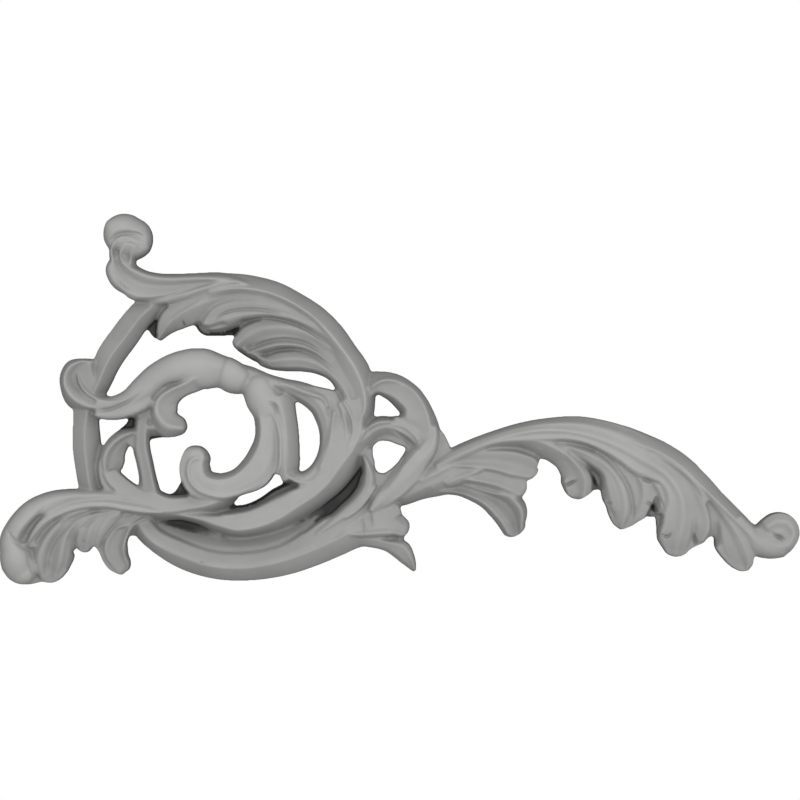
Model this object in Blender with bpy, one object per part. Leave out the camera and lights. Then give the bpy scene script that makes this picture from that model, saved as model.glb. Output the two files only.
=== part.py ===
"""Leaf scroll onlay: a pierced acanthus scroll cast in one piece, with a flat back.

The carving is laid out on a full-size drawing in half-millimetre steps, x to the right and y
downwards from its top left corner. Each stem, leaf, rib and floor is a stroke: a smooth line
through rows of (x, y, width to the left, width to the right, height off the back in
millimetres), one profile carved across it, and rounded ends. Left is the left hand of someone
walking along the rows. The strokes are laid over one another as heights on a fine grid, narrow
slits are closed, the outline is trimmed where a lobe ends, creases are cut, the whole is
softened as a casting is, and side walls drop from the outline. The slab under that face is
thinned out and cut flat at the back.

The back lies on the plane y = 0, the front faces -y and z is up. The origin is the mount, on
the back behind the outer stem.
"""

import bmesh
import bpy
import numpy as np

NAME = "leaf_scroll_onlay"

# Driving sizes. Metres, except where a name says drawing steps or the height is in millimetres.
STEP = 0.0005  # one step of the drawing
MOUNT = (340.0, 470.0)  # the mount, in drawing steps
DRAWN = ((-6.0, 205.0), (806.0, 595.0))  # corners of the part of the drawing that is used
CELL = 1.0  # drawing steps between the heights of the grid
BLEND = 0.8  # millimetres over which a stroke melts into the one under it
SLIT = 1.6  # drawing steps, half the widest slit that the casting fills
SOFTENING = 0.9  # drawing steps over which the carving is softened
OUTLINE_SOFTENING = 1.2  # drawing steps over which the outline is softened
EDGE_ROUND = 2.2  # drawing steps that the front edge is rounded over
WALL_FALL = 13.0  # millimetres that a side wall falls in one drawing step
CAP_DROP = 0.35  # share of its height that a stroke loses round its ends
BEHIND = 2.5  # millimetres that the side walls reach behind the back before it is cut flat
FACES_KEPT = 0.02  # share of the slab's faces kept
COLOUR = (0.30, 0.30, 0.295, 1.0)
ROUGHNESS = 0.62

# Profiles across a stroke: (place, share of the crest height), -1 the left edge and 1 the right,
# then how the surface bends between a crest and a hollow.
ROUND = (((-1, 0.35), (0, 1), (1, 0.35)), "round")
SOFT = (((-1, 0.4), (0, 1), (1, 0.4)), "soft")
CORD = (((-1, 0.8), (0, 1), (1, 0.8)), "round")
FLAT = (((-1, 0.9), (0, 1), (1, 0.9)), "soft")
SHEET = (((-1, 1), (1, 1)), "straight")
HOLLOW = (((-1, 0), (0, 1), (1, 0)), "soft")
LEAFLET = (((-1, 0.86), (0, 1), (1, 0.82)), "soft")


def ring_bar():
    yield "bar_left", [
        (166, 296, 14, 14, 9.5), (142, 317, 11, 15.3, 11), (127, 337, 11.5, 16.2, 11),
        (110, 360, 12, 14.8, 11), (100, 382, 11, 11.5, 11), (91, 405, 9, 17, 10.5),
        (86.5, 425, 13, 13, 10.5), (86, 445, 15, 13, 10.5), (88, 465, 13, 12.5, 10.5),
        (91, 485, 10, 12, 10.5), (97, 505, 10, 12, 10),
    ], (((-1, 0.35), (0, 1), (1, 0.62)), "straight"), (0, 0)
    yield "bar_bottom", [
        (137, 519, 12, 12, 8), (150, 538, 13, 8.6, 11), (180, 555, 14.5, 12, 11.5),
        (215, 566, 14.5, 12.6, 12), (250, 567, 14.5, 13.2, 12), (285, 560, 15, 15, 12),
        (315, 549, 20, 16, 12), (335, 540, 24, 16.6, 12), (352, 531, 22, 18, 11.5),
        (370, 524, 20, 20.5, 10),
    ], (((-1, 0.72), (-0.3, 0.96), (0, 1), (1, 0.42)), "straight"), (0, 0)


def sweeps():
    yield "dish", [
        (156, 519, 7, 8, 4), (178, 532, 9, 9, 5.5), (205, 542, 12, 9, 7), (240, 545, 13, 8.5, 7.5),
        (270, 541, 13, 8, 7.5), (292, 532, 12, 6, 6.5), (308, 521, 9, 4, 4.5), (324, 508, 6, 3, 2),
    ], (((-1, 0.35), (0.5, 0.9), (1, 1)), "soft"), (0.5, 0.5)
    yield "outer_stem", [
        (359, 398, 12, 16, 13.5), (362, 415, 9, 24, 14), (361, 432, 10, 29, 14.5),
        (354, 448, 14, 27, 15),
        (340, 467, 17, 22, 15), (330, 481, 15, 16, 15), (318, 493, 13, 15, 15), (300, 505, 13, 17, 15),
        (280, 518, 11, 17, 15), (257, 527, 8.5, 16, 14.6), (238, 529.5, 8, 14, 14),
        (218, 524.5, 8, 10, 13.2), (200, 518.5, 6, 5, 12.4), (182, 515, 5, 4, 11.6),
        (162, 514, 4, 4, 10.8),
    ], (((-1, 0.18), (0, 1), (0.8, 0.93), (1, 0.85)), "straight"), (0, 0.4)


def knob():
    yield "knob_ball", [(125, 234.5, 20.8, 21, 18.5), (131.5, 238.8, 21.3, 21, 18.5)], \
        (((-1, 0.35), (0, 1), (1, 0.35)), "round"), (1, 1)
    folds = (
        [(114.5, 262, 3, 3, 14.5), (113, 251, 3.5, 3.5, 16.2), (117, 243, 2.5, 2.5, 17)],
        [(124, 264, 3, 3.5, 15.5), (122.5, 253, 4, 5, 17), (129, 244, 3, 4, 18.3)],
        [(133, 264, 3, 3, 13.5), (133, 254, 3.5, 4, 15.5), (139, 246, 3, 4, 17)],
    )
    for rows in folds:
        yield "knob_fold", rows, SOFT, (0.6, 0.6)


def neck():
    yield "neck_blade", [
        (123, 248, 13.5, 12, 14), (123, 259, 14.4, 10, 14.5), (130, 267.5, 7, 21, 15),
        (140, 273, 5, 26.5, 15),
        (155, 278, 5.5, 23.5, 15), (172, 279.5, 6, 20, 15), (190, 279, 5.9, 16, 15),
        (210, 279, 6.8, 11, 15.2),
        (228, 280.5, 7.5, 6.5, 15.4), (243, 283, 5, 4, 14.6), (256, 287, 2, 2, 13),
    ], (((-1, 0.3), (-0.15, 0.95), (0, 1), (0.35, 0.84), (0.85, 0.95), (1, 0.8)), "soft"), (0, 0)
    yield "neck_roll", [
        (118, 257, 4, 3.5, 13.5), (113, 269, 5, 6.8, 14.5), (117, 280, 5, 7, 14.5),
        (128, 290.5, 4, 4.6, 13.5),
        (138, 298, 3, 2.5, 12),
    ], ROUND, (0.8, 0.3)


def upper_leaf():
    yield "leaf_back", [
        (358, 425, 7, 14, 14), (366, 406, 13, 9, 14.8), (364, 388, 15, 11, 15.3),
        (357, 370, 16, 12.5, 16),
        (346, 353, 11, 12, 16.5), (330, 334, 7, 14, 17), (313, 317, 7, 13.5, 17),
        (295, 304.5, 9, 12.6, 17),
        (275, 295, 10, 13.4, 17), (255, 290, 11, 14, 16.7), (238, 288.5, 11, 15, 16.2),
        (222, 290, 11, 16, 15.5),
        (210, 294, 12, 12, 14.8),
    ], (((-1, 0.66), (-0.12, 0.98), (0, 1), (1, 0.28)), "straight"), (0, 0)
    yield "lobe_one", [
        (235, 290, 10, 3, 16), (215, 295, 13, 6, 15), (197, 304, 17, 10, 13.5),
        (180, 315, 14, 14, 11.5),
        (168, 326, 8.5, 11, 9.5), (159.5, 339.8, 1.8, 2.2, 6.5),
    ], (((-1, 0.5), (0, 1), (0.4, 0.93), (1, 0.85)), "straight"), (0, 0)
    yield "lobe_one_rim", [
        (150, 302.5, 1.5, 3, 10.5), (165, 300, 2, 4, 12.6), (185, 294.5, 2.2, 5, 14.2),
        (205, 288.5, 2.2, 4, 15.2),
        (225, 283.5, 2, 3, 15.8), (240, 281.5, 1.5, 2, 16),
    ], CORD, (0.3, 0.3)
    yield "lobe_two", [
        (344, 351, 4, 3, 15.4), (322, 330, 4.5, 3, 14.6), (297, 315, 7, 3, 13.8),
        (275, 307, 10.5, 3, 13.2),
        (250, 302.5, 16, 3.5, 12.6), (230, 303, 20, 3.5, 12.2), (214, 311, 17, 4, 11.5),
        (205, 324, 4, 4, 9.5),
    ], (((-1, 0.8), (-0.72, 0.96), (-0.5, 0.84), (-0.12, 0.97), (0, 1), (1, 0.8)), "soft"), (0, 0.5)
    yield "lobe_two_rib", [
        (275, 312, 3, 3, 12.2),
        (255, 311, 4.5, 3, 11.8), (235, 313, 6, 3, 11.6), (220, 318, 5.5, 3, 11.2),
        (209, 325, 2, 2, 10),
    ], CORD, (0.4, 0.5)
    yield "lobe_three", [
        (356, 378, 4, 5, 14.2), (350, 365, 5, 5, 13.6), (338, 351, 7, 5, 13), (322, 339, 9, 6, 12.4),
        (305, 331, 11, 6, 11.8), (285, 327, 11, 7, 11.2), (265, 328, 11, 8, 10.5),
        (250, 334, 10, 9, 9.6),
        (238.5, 344, 5.5, 6.8, 8),
    ], (((-1, 0.76), (0, 1), (1, 0.84)), "soft"), (0, 0.8)
    yield "lobe_three_low", [
        (350, 393, 3, 4, 12.8), (341, 375, 4, 4, 12), (328, 360, 5, 5, 11.4), (312, 349.5, 5, 6, 10.8),
        (296, 345, 6, 6, 10.2), (280, 344.5, 6, 6, 9.4), (265, 347.5, 7, 5, 8.6), (250, 352, 6, 5, 7),
    ], SOFT, (0.3, 0.8)
    yield "lobe_four", [
        (351, 418, 5, 4, 14), (350, 402, 8, 6, 13.6), (344, 388, 7.6, 7, 12.8), (334, 376, 6, 7.5, 12),
        (320, 365, 9.5, 7, 11.4), (305, 359.5, 12, 7, 10.8), (288, 359, 12.2, 7, 9.8),
        (272, 361, 8.6, 6, 8.2),
        (260, 360.5, 4.5, 3, 6),
    ], (((-1, 0.5), (-0.6, 0.85), (0, 1), (1, 0.78)), "soft"), (0, 0.3)
    yield "leaf_bed", [
        (356, 400, 9, 9, 12), (345, 372, 9, 9, 11.5), (330, 352, 9, 9, 10.5), (305, 338, 9, 9, 9.5),
        (275, 336, 9, 9, 8.5),
        (252, 341, 9, 7, 6.5),
    ], FLAT, (0, 0.4)
    yield "leaf_bed", [
        (330, 345, 6, 6, 11), (310, 330, 6, 7, 9.5), (285, 321, 6, 6, 8.5), (260, 320, 6, 6, 7),
        (243, 325, 6, 5, 4),
    ], \
        SHEET, (0, 0.3)
    yield "web_two", [
        (197, 323, 2, 3, 3), (205, 329, 4, 6, 6), (216, 329, 5, 7, 7.5), (229, 327, 5, 8.5, 8),
        (242, 324, 4, 10, 7),
    ], (((-1, 1), (0, 1), (1, 0.12)), "straight"), (0.3, 0)
    yield "leaf_edge", [
        (240, 346, 3, 5, 6), (248, 351, 3, 5.5, 6.5), (258, 356, 4, 6, 7), (270, 361, 4, 5, 7.5),
    ], SOFT, (0.5, 0.5)
    yield "web_three", [(236, 329, 3, 3, 2), (243, 336, 6, 6, 2.5)], SHEET, (0, 0)
    yield "web_one", [
        (155, 305, 9, 9, 2.2), (152, 318, 8, 6, 2), (153, 328, 7, 5, 2), (158, 336, 2, 4, 2),
    ], SHEET, (0, 0)


def main_stem():
    yield "stem", [
        (232, 370.5, 19.5, 11.5, 15), (222, 369, 18.5, 13.6, 16), (203, 367, 22, 18.5, 16.5),
        (182, 368.5, 16, 17.7, 16.2),
        (160, 378, 11.5, 16.2, 15.8), (145, 390.5, 12.5, 15.2, 15.2), (128, 401, 12, 11, 14.6),
        (112, 405, 9, 8.5, 14.4), (98, 404, 6, 7, 14.2),
    ], (((-1, 0.5), (0, 1), (1, 0.45)), "round"), (0, 0.3)
    yield "stem_under", [
        (152, 397, 8, 4, 13.6), (140, 404, 8.4, 4.5, 13.8), (125, 411, 6.6, 4, 13.8),
        (110, 413.6, 5.6, 3.6, 13.8),
        (99, 413.6, 4, 2.5, 13.8),
    ], CORD, (0, 1.2)
    yield "curl_rim", [
        (128, 402, 3, 10, 13.6), (112, 407.5, 2, 10.5, 13.8), (97, 408.5, 3, 10.5, 13.9),
        (83, 404, 9.6, 11, 14.2),
        (72.5, 396.5, 9, 9, 14.6), (66.5, 386, 6.2, 7, 15), (66.5, 375, 6.2, 6, 15),
        (72, 366, 6.3, 5, 14.6),
        (82, 361, 2.7, 4, 13), (94, 361, 2, 6, 10.5),
    ], (((-1, 0.28), (0, 1), (0.3, 0.96), (1, 0.72)), "straight"), (0, 0.3)
    yield "curl_tongue", [
        (79, 374, 1, 1, 11.5), (81.5, 383, 3, 4, 12.6), (87, 391, 4.5, 5, 13.4), (97, 398, 5, 5, 14),
        (112, 401.5, 5, 5, 14.6), (128, 400, 4, 4, 15),
    ], SOFT, (0.3, 0.5)
    yield "curl_bowl", [
        (84, 364, 9, 8, 11), (83, 380, 12, 12, 10), (88, 394, 10, 10, 10.5),
    ], SHEET, (0.6, 0.3)
    yield "hook", [
        (200, 376, 14, 5, 15.5), (184, 384, 13, 2.5, 15.5), (170, 390.5, 15, 3.5, 15.3),
        (160.5, 398, 19.6, 4.2, 15.2),
        (157, 408, 21, 5.5, 15.2), (160.5, 417.5, 19.2, 9.5, 15.2), (168, 424.5, 16.6, 12.5, 15),
        (180, 427.5, 11, 8, 14.5),
    ], (((-1, 0.6), (-0.3, 0.86), (-0.1, 0.98), (0, 1), (0.25, 0.95), (1, 0.5)), "straight"), (0, 0.75)


def strut():
    yield "strut", [
        (148, 400, 5, 8, 8.5), (145, 415, 6, 9, 9), (142.5, 430, 7.2, 8, 9), (142, 447, 7.9, 9, 9),
        (145.5, 462, 7.4, 9, 9), (148.5, 477, 7.6, 9.6, 9.5), (151, 492, 9.2, 14, 10.5),
    ], (((-1, 0.5), (-0.65, 1), (0.5, 0.9), (1, 0.6)), "soft"), (0, 0)
    yield "hook_foot", [(148, 428, 3, 12, 9), (163, 429, 3, 8.5, 9), (176, 430, 3, 6, 9)], \
        (((-1, 1), (0, 1), (1, 0.1)), "straight"), (0, 0.3)
    yield "strut_web", [
        (131, 417, 8, 1, 2), (126.5, 424, 9, 1, 2), (120, 430, 8, 1, 2.5), (113, 436, 5, 1, 5),
    ], SHEET, (0, 0)
    yield "strut_web", [(130, 437, 4, 6, 7), (136, 445, 5, 4, 7)], SHEET, (0, 0)


def left_leaf():
    yield "small_leaf", [
        (133, 433, 6, 5, 9), (121, 438, 12, 7.5, 10.5), (111.5, 446.5, 16.5, 7, 11),
        (106, 457, 19.4, 6, 11),
        (105.5, 469, 17, 4, 10.5),
    ], (((-1, 0.5), (-0.3, 0.72), (0, 1), (1, 0.6)), "soft"), (0.4, 0.3)
    yield "small_leaf_back", [
        (109, 449, 2, 2, 8), (102.5, 459, 2.5, 2.5, 9), (101.5, 473, 2.5, 2.5, 9.5),
        (106, 486, 2.5, 3, 10.5),
        (117, 496, 2.5, 3, 12),
    ], CORD, (0.4, 0)
    yield "bottom_stem", [
        (105, 474, 13, 2, 11), (110, 483, 15, 3.5, 12), (122, 493, 14.5, 5, 12.8),
        (137, 503, 15.5, 8, 13.6),
        (152, 509.5, 19, 9, 14), (172, 511, 14.5, 8.5, 14), (190, 508.5, 13, 9.5, 14),
        (207, 505, 10, 11, 14),
        (222, 500, 6, 9.5, 13), (236, 493.5, 3, 5, 12),
    ], (((-1, 0.78), (-0.4, 0.95), (0, 1), (1, 0.3)), "straight"), (0.2, 0)
    yield "recess_floor", [
        (162, 520, 5, 5, 1.8), (180, 522, 7, 8, 1.8), (198, 528, 6, 6, 2.4), (220, 536, 6, 6, 4),
    ], SHEET, (0.4, 0)
    yield "recess_floor", [
        (157, 496, 7, 4, 2.5), (172, 498, 4.5, 4, 2.5), (188, 488, 10, 5, 3),
    ], SHEET, (0, 0)
    yield "leaf_roll", [
        (140, 499, 4, 8, 13.2), (118, 496.5, 3.5, 7, 13.8), (95, 495.5, 4, 6, 14.6),
        (70, 497, 5.5, 8, 16),
        (51, 502.5, 8, 11, 17.5), (36, 512, 4.5, 14, 18.6), (22, 527, 4.5, 14.5, 19),
        (14, 541, 7, 13.5, 18), (14, 548, 8, 13.5, 17.6),
    ], (((-1, 0.85), (0, 1), (1, 0.35)), "round"), (0, 0.3)
    yield "roll_end", [
        (15, 546, 12, 14, 17.5), (17, 556, 14, 16.5, 18), (21, 566, 14.5, 17.5, 17),
        (25, 572, 14, 16, 15),
    ], \
        (((-1, 0.6), (0, 1), (1, 0.35)), "round"), (0.4, 0.75)
    yield "leaf_strip", [
        (163, 512, 1, 1, 14.6), (150, 510, 3.5, 4.2, 15.2), (130, 507, 4, 4.6, 15.8),
        (105, 503.5, 4, 4.4, 16.2),
        (80, 505.5, 4, 4.4, 16.4), (61, 511.5, 4.4, 4.4, 16.6), (46, 520, 4.4, 4, 16.2),
        (36, 531, 3.6, 3.4, 15),
        (29.5, 543, 2, 2, 12.5),
    ], (((-1, 0.82), (-0.6, 1), (-0.05, 0.93), (0.5, 1), (1, 0.86)), "soft"), (0, 0.3)
    yield "leaf_nook", [
        (50, 508, 7, 3, 14.5), (37, 522, 9, 7, 13.6), (29, 538, 8, 8, 12), (32, 549, 6, 6, 11),
    ], SHEET, (0, 0.3)
    yield "fan_one", [
        (90, 510, 3, 3, 13.8), (70, 517, 5, 5, 13.6), (55, 529, 6, 6, 13.2), (45, 545, 8, 9, 12.8),
        (40, 560, 11, 10, 12), (44, 575, 10, 10, 9.4),
    ], (((-1, 0.8), (0, 1), (1, 0.72)), "soft"), (0, 0.6)
    yield "fan_two", [
        (118, 511, 3, 3, 13.6), (98, 513.5, 5, 4, 13.2), (80, 521, 8, 6, 12.8), (69, 533, 9, 9, 12.4),
        (64, 547, 12, 10, 12), (61.5, 560, 11.5, 10, 11), (57.5, 572, 10.5, 11, 8.8),
    ], (((-1, 0.45), (-0.5, 0.78), (0, 1), (1, 0.84)), "soft"), (0, 0.8)
    ribs = (
        [(105, 511, 4, 4, 13.3), (90, 518, 6, 5, 12.7), (81, 531, 6, 5.5, 11.9), (80, 545, 4.5, 3.5, 9)],
        [(112, 512, 4, 4, 13.4), (98, 519, 6, 6, 13), (90, 533, 6.5, 6, 12.1), (86.5, 548, 5.5, 5.5, 8.6)],
        [(122, 512, 4, 4, 13.2), (109, 519, 7, 6, 13), (101, 531, 7, 6.5, 12), (97, 544, 6, 5, 9)],
    )
    for rows in ribs:
        yield "fan_rib", rows, (((-1, 0.86), (0, 1), (1, 0.9)), "soft"), (0, 0.7)
    yield "fan_four", [
        (146, 514, 5, 4, 10.5), (130, 522, 7, 7, 10.5), (119, 535, 12, 12, 10),
        (115, 549, 13.4, 15.4, 9.6),
        (121, 562, 9.5, 13, 8.6),
    ], (((-1, 0.4), (-0.8, 1), (-0.25, 0.8), (0.2, 0.84), (0.55, 0.97), (1, 0.45)), "soft"), (0, 0.95)
    yield "fan_bed", [
        (150, 517, 6, 5, 8), (122, 519, 8, 8, 10), (98, 525, 12, 16, 10), (88, 539, 12, 11, 7),
    ], SHEET, (0, 0)
    yield "fan_bed", [
        (75, 520, 6, 8, 11), (55, 535, 10, 10, 10.5), (46, 555, 14, 13, 9), (48, 573, 13, 16, 7),
    ], SHEET, (0, 0.7)
    yield "fan_bed", [
        (20, 572, 10, 10, 10), (36, 577, 7, 9, 8), (52, 574, 10, 12, 8), (64, 566, 9, 9, 8),
    ], SHEET, (0.5, 0.3)
    yield "fan_bed", [(80, 544, 7, 9, 8), (92, 542, 7, 8, 8)], SHEET, (0.3, 0.3)
    yield "fan_bed", [
        (104, 548, 9, 9, 8), (113, 562, 12, 12, 7.6), (122, 568, 9, 9, 7.6),
    ], SHEET, (0.3, 0.5)
    yield "root_web", [(128, 519, 8, 9, 4), (142, 527, 7, 13.5, 4), (150, 535, 6, 8, 4)], SHEET, (0, 0)


def volute():
    yield "sheath", [(257, 388, 14, 15, 16.3), (263, 399, 15, 17, 16.6), (268, 412, 14, 14.5, 16)], \
        (((-1, 0.7), (0, 1), (1, 0.5)), "round"), (0.9, 0.5)
    yield "volute", [
        (264, 398, 15, 17, 15.5), (269, 415, 8, 15.1, 15.6), (270.5, 435, 9, 15.2, 15.8),
        (267, 455, 13, 18, 16),
        (255, 472, 16.5, 17, 16.4), (238, 483.5, 11.5, 14.5, 16.8), (218, 487.5, 12, 14.3, 17),
        (201, 481, 16, 14, 17), (194.5, 467, 14, 16, 17), (196.8, 457.6, 13.4, 13.8, 16.5),
    ], (((-1, 0.82), (-0.4, 0.97), (0.2, 1), (0.6, 0.97), (1, 0.4)), "straight"), (0, 0.85)
    yield "volute_rim", [
        (201, 457, 2, 2, 17.5), (193.5, 459.5, 2.2, 2.5, 18), (190, 468, 2.2, 2.5, 18.2),
        (191, 478, 2.4, 2.5, 18),
        (198, 487.5, 2.4, 2.5, 17.6), (211, 494, 2.4, 2.4, 17), (226, 496, 2.4, 2.4, 16.4),
        (242, 491.5, 2.4, 2.4, 15.8),
        (260, 483, 2, 2, 15),
    ], CORD, (0.6, 0.6)
    yield "volute_groove_rim", [
        (272, 410, 1.5, 1.8, 15.5), (277.5, 421, 2, 2.2, 16.6), (281, 435, 2.2, 2.4, 16.8),
        (281.5, 450, 2.2, 2.4, 16.8),
        (280.5, 466, 2.2, 2.2, 16.2), (278, 473, 1.2, 1.2, 15),
    ], CORD, (0.6, 0.6)
    yield "volute_side", [
        (278, 396, 17, 12, 15), (283, 412, 13, 10, 15.3), (286, 430, 12.3, 6, 15.4),
        (286.5, 450, 13, 6, 15.2),
        (285.5, 467, 14, 6, 14.4), (287, 478, 9, 5, 12.5),
    ], (((-1, 0.5), (-0.18, 0.94), (0, 1), (1, 0.92)), "straight"), (0, 0.5)
    yield "bead", [
        (226, 371, 14.2, 17.6, 17.5), (236, 374.5, 12.4, 19, 17.8), (243, 377, 9.8, 17.5, 16.8),
    ], \
        (((-1, 0.5), (0, 1), (1, 0.45)), "round"), (0.35, 0.5)
    yield "branch_top", [
        (234, 368, 6, 9, 12), (250, 375, 8.6, 10, 13), (266, 381.5, 8.2, 9, 13),
        (283, 386, 7.8, 9, 13.2),
        (298, 390.5, 9.4, 10, 13), (311, 396, 10.4, 11.5, 12.8), (321, 404.5, 10.8, 12, 12.5),
        (327, 418, 7.5, 11.3, 12.2),
        (328, 433, 5.5, 8.4, 12), (325.5, 448, 5, 6.2, 12), (320.5, 461, 5, 5.4, 12.2),
        (312, 473, 6, 6, 12.6),
        (303, 478.5, 6, 7, 12.8), (295, 477, 5, 7, 12.5),
    ], (((-1, 0.5), (-0.5, 0.9), (0, 1), (0.5, 0.88), (1, 0.55)), "soft"), (0, 0.8)
    yield "branch_ridge", [
        (281, 383, 1.5, 1.5, 13.5), (292, 386.5, 2, 2, 14.4), (304, 391.5, 2.2, 2.2, 14.4),
        (315, 395, 2.4, 2.4, 14),
        (323, 398, 2.2, 2.2, 13.6), (328.5, 407, 1.5, 1.5, 13),
    ], CORD, (0.5, 0.5)
    yield "branch_bed", [
        (300, 388, 4, 5, 10.5), (318, 393, 6, 7, 11), (333, 401, 9, 9, 11.6), (340, 414, 8, 9, 12.6),
    ], FLAT, (0.3, 0.3)
    yield "branch_end", [
        (290, 476, 2, 2.5, 13.3), (297, 480.5, 2, 2.5, 13.8), (307, 481.5, 2, 2.5, 13.8),
        (318, 477.5, 1.5, 2, 13.4),
    ], \
        CORD, (0.6, 0.6)
    yield "inner_rib", [
        (335, 411, 2.5, 2.5, 13.6), (333, 425, 3, 3, 14), (330.5, 441, 3, 3, 14.3),
        (326.5, 456, 3, 3, 14.4), (320, 468, 2, 2, 14.4),
    ], \
        (((-1, 0.88), (0, 1), (1, 0.88)), "soft"), (0.5, 0.5)
    yield "almond", [
        (342, 402, 4, 4, 14.6), (347, 411, 4.5, 5, 15.2), (351, 423, 4, 6, 15.6),
        (351, 436, 3, 5, 15.6), (347, 447, 1.5, 2, 15.2),
    ], \
        (((-1, 0.86), (-0.5, 1), (0.1, 0.88), (1, 0.93)), "soft"), (0.5, 0.3)
    yield "slot_slope", [
        (224, 514.5, 6, 3, 12), (234, 514, 8.5, 3, 12.2), (248, 511.5, 8, 3, 12.6),
        (263, 506, 9, 3, 12.8),
        (279, 498.5, 12, 3, 13), (293, 492, 12, 3, 13.2), (303, 488, 7, 3, 13.6),
    ], (((-1, 0.08), (-0.5, 0.32), (0, 1), (1, 1)), "soft"), (0.8, 0.3)


def right_loop():
    yield "crevice_floor", [
        (363, 458, 4, 5, 2), (358, 476, 8, 9, 1.6), (346, 494, 9, 9, 1.6), (326, 513, 8, 8, 2.4),
        (302, 531, 6, 6, 4),
    ], SHEET, (0.3, 0)
    yield "loop", [
        (366, 394, 9, 8, 11.5), (373, 385, 13, 12, 12.5), (384, 381, 9.7, 18, 13),
        (397, 381.5, 7.2, 22.2, 13.5),
        (411, 388, 5.2, 24.8, 14), (421, 399, 5.2, 25, 14.3), (427.5, 413, 6.4, 30, 14.5),
        (430, 427, 9.5, 18, 14.5),
        (429, 440, 14, 14, 14.5),
    ], (((-1, 0.35), (0, 1), (0.72, 0.86), (1, 0.35)), "straight"), (0, 0)
    yield "loop_rim", [
        (372, 387.5, 2, 2, 12.8), (379, 382, 2.3, 2.3, 14), (390, 380, 2.3, 2.3, 14.2),
        (399, 382, 2, 2, 14),
    ], CORD, (0.5, 0.5)
    yield "loop_step", [
        (408, 386, 2, 2, 14.6), (418, 395, 2.5, 3, 14.9), (425, 406, 2.5, 3, 15), (429, 419, 2, 2, 15),
    ], SOFT, (0.4, 0.4)
    yield "loop_bed", [
        (396, 419, 3, 7, 11.6), (406, 424, 7, 8, 12.2), (417, 433, 8, 7, 12.8),
    ], FLAT, (0.5, 0.5)
    yield "front_sheath", [
        (434.5, 427, 3, 4, 14.4), (434, 437, 4.5, 10, 15.2), (431, 447, 6, 17, 15.6),
        (421, 459, 8.5, 17, 15.4),
        (408, 472, 13, 15, 15), (394, 486, 12.5, 13, 14.6), (381, 498, 10, 10, 14),
        (371, 510.5, 2.5, 5, 13),
    ], (((-1, 0.85), (-0.3, 0.98), (0, 1), (0.5, 0.94), (1, 0.35)), "straight"), (0.8, 0)
    yield "back_slope", [
        (435, 430, 4, 6, 10), (440, 438, 5.2, 8, 10), (445, 450, 5, 12, 10), (440, 463, 10, 14, 10),
        (425, 480, 12, 10, 10),
    ], SHEET, (0.2, 0)
    yield "cross_left", [
        (361, 443, 2.5, 2, 13), (365, 432, 6, 3, 13.6), (375, 424.5, 7, 3, 13.6),
        (391, 421.5, 5, 3, 13),
    ], \
        SOFT, (0.3, 0)
    yield "cross_right", [
        (391, 424, 8, 3, 12), (403, 427, 8, 3, 12.4), (413, 434.5, 5, 3, 12.6),
        (419.5, 444, 4, 2.5, 12.4),
    ], \
        SOFT, (0, 0.4)
    yield "cross_arch", [
        (357, 453, 3, 10, 11), (365, 439, 3, 11, 11.6), (376, 430, 4, 12, 11.8),
        (388, 427, 4, 14, 11.8),
        (400, 431, 4, 14.5, 11.6), (411, 438, 4, 11, 11.4), (419, 448, 3, 12, 11),
    ], (((-1, 0.95), (0, 1), (1, 0.35)), "straight"), (0, 0)
    yield "cross_lip", [
        (374, 444, 2, 3, 6), (381, 438, 2.5, 4.5, 7), (393, 438, 2.5, 5, 8), (404, 442.5, 2.5, 7, 8),
        (413, 448, 2, 5, 8),
    ], CORD, (0.5, 0.5)
    yield "middle_leaf", [
        (363.5, 456, 1.5, 2, 11), (369, 466, 2.5, 8, 12), (372, 478, 3, 14, 12.4),
        (369, 490, 4, 14, 12.6),
        (361, 501, 5, 13, 12.6), (348, 512, 6, 11.5, 12.6), (333, 523, 6, 9, 12.2),
        (318, 533, 5, 6, 11),
    ], (((-1, 0.86), (0, 1), (0.3, 0.93), (1, 0.13)), "soft"), (0.3, 0.6)
    yield "middle_bed", [
        (367, 450, 5.5, 5, 8), (372, 466, 5.5, 6, 8.5), (380, 483, 8, 6, 9.5), (378, 500, 10, 9, 10),
    ], SHEET, (0.3, 0)
    yield "middle_fold", [
        (376, 486, 2, 2, 13.2), (369, 497, 2.2, 2.2, 13.8), (360, 508, 2.2, 2.2, 13.8),
        (346, 518, 1.5, 1.5, 13.2),
    ], SOFT, (0.5, 0.5)
    yield "root_bed", [
        (372, 512, 8, 8, 10.5), (350, 524, 8, 8, 11.5), (330, 535, 6, 6, 11.5),
    ], FLAT, (0.3, 0.3)
    yield "bed_right", [
        (404, 458, 10, 5.5, 8.5), (394, 474, 10, 8, 8.5), (381, 484, 9, 9, 9),
    ], SHEET, (0, 0)
    yield "cluster_upper", [
        (350, 530, 4, 7, 11.6), (362, 527, 9, 10.5, 12.5), (380, 524, 12, 13, 12.8),
        (393, 524, 13, 12.6, 12.4), (402, 528, 9.5, 9.5, 10.5),
    ], (((-1, 0.62), (-0.2, 0.84), (0.3, 0.9), (0.62, 1), (0.85, 0.9), (1, 0.5)), "soft"), (0, 0.75)
    yield "cluster_lower", [
        (358, 541, 3, 5, 8), (373, 542, 5, 5.5, 9.2), (388, 545.5, 7, 6, 9.6), (400, 552, 12, 7.4, 9.4),
        (408.5, 560.5, 7.5, 6.2, 8.6), (414.6, 570.5, 1.8, 1.8, 6),
    ], (((-1, 0.75), (-0.6, 1), (0.3, 0.85), (1, 0.6)), "soft"), (0, 0.4)
    yield "cluster_bed", [(366, 534, 8, 8, 7), (385, 536, 8, 8, 7), (404, 539, 4, 4, 5)], SHEET, (0, 0)
    yield "cluster_bed", [
        (372, 514, 9, 12, 11.5), (388, 511, 7, 9, 10.8), (400, 508, 4, 6, 9.6),
    ], SHEET, (0, 0)


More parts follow.
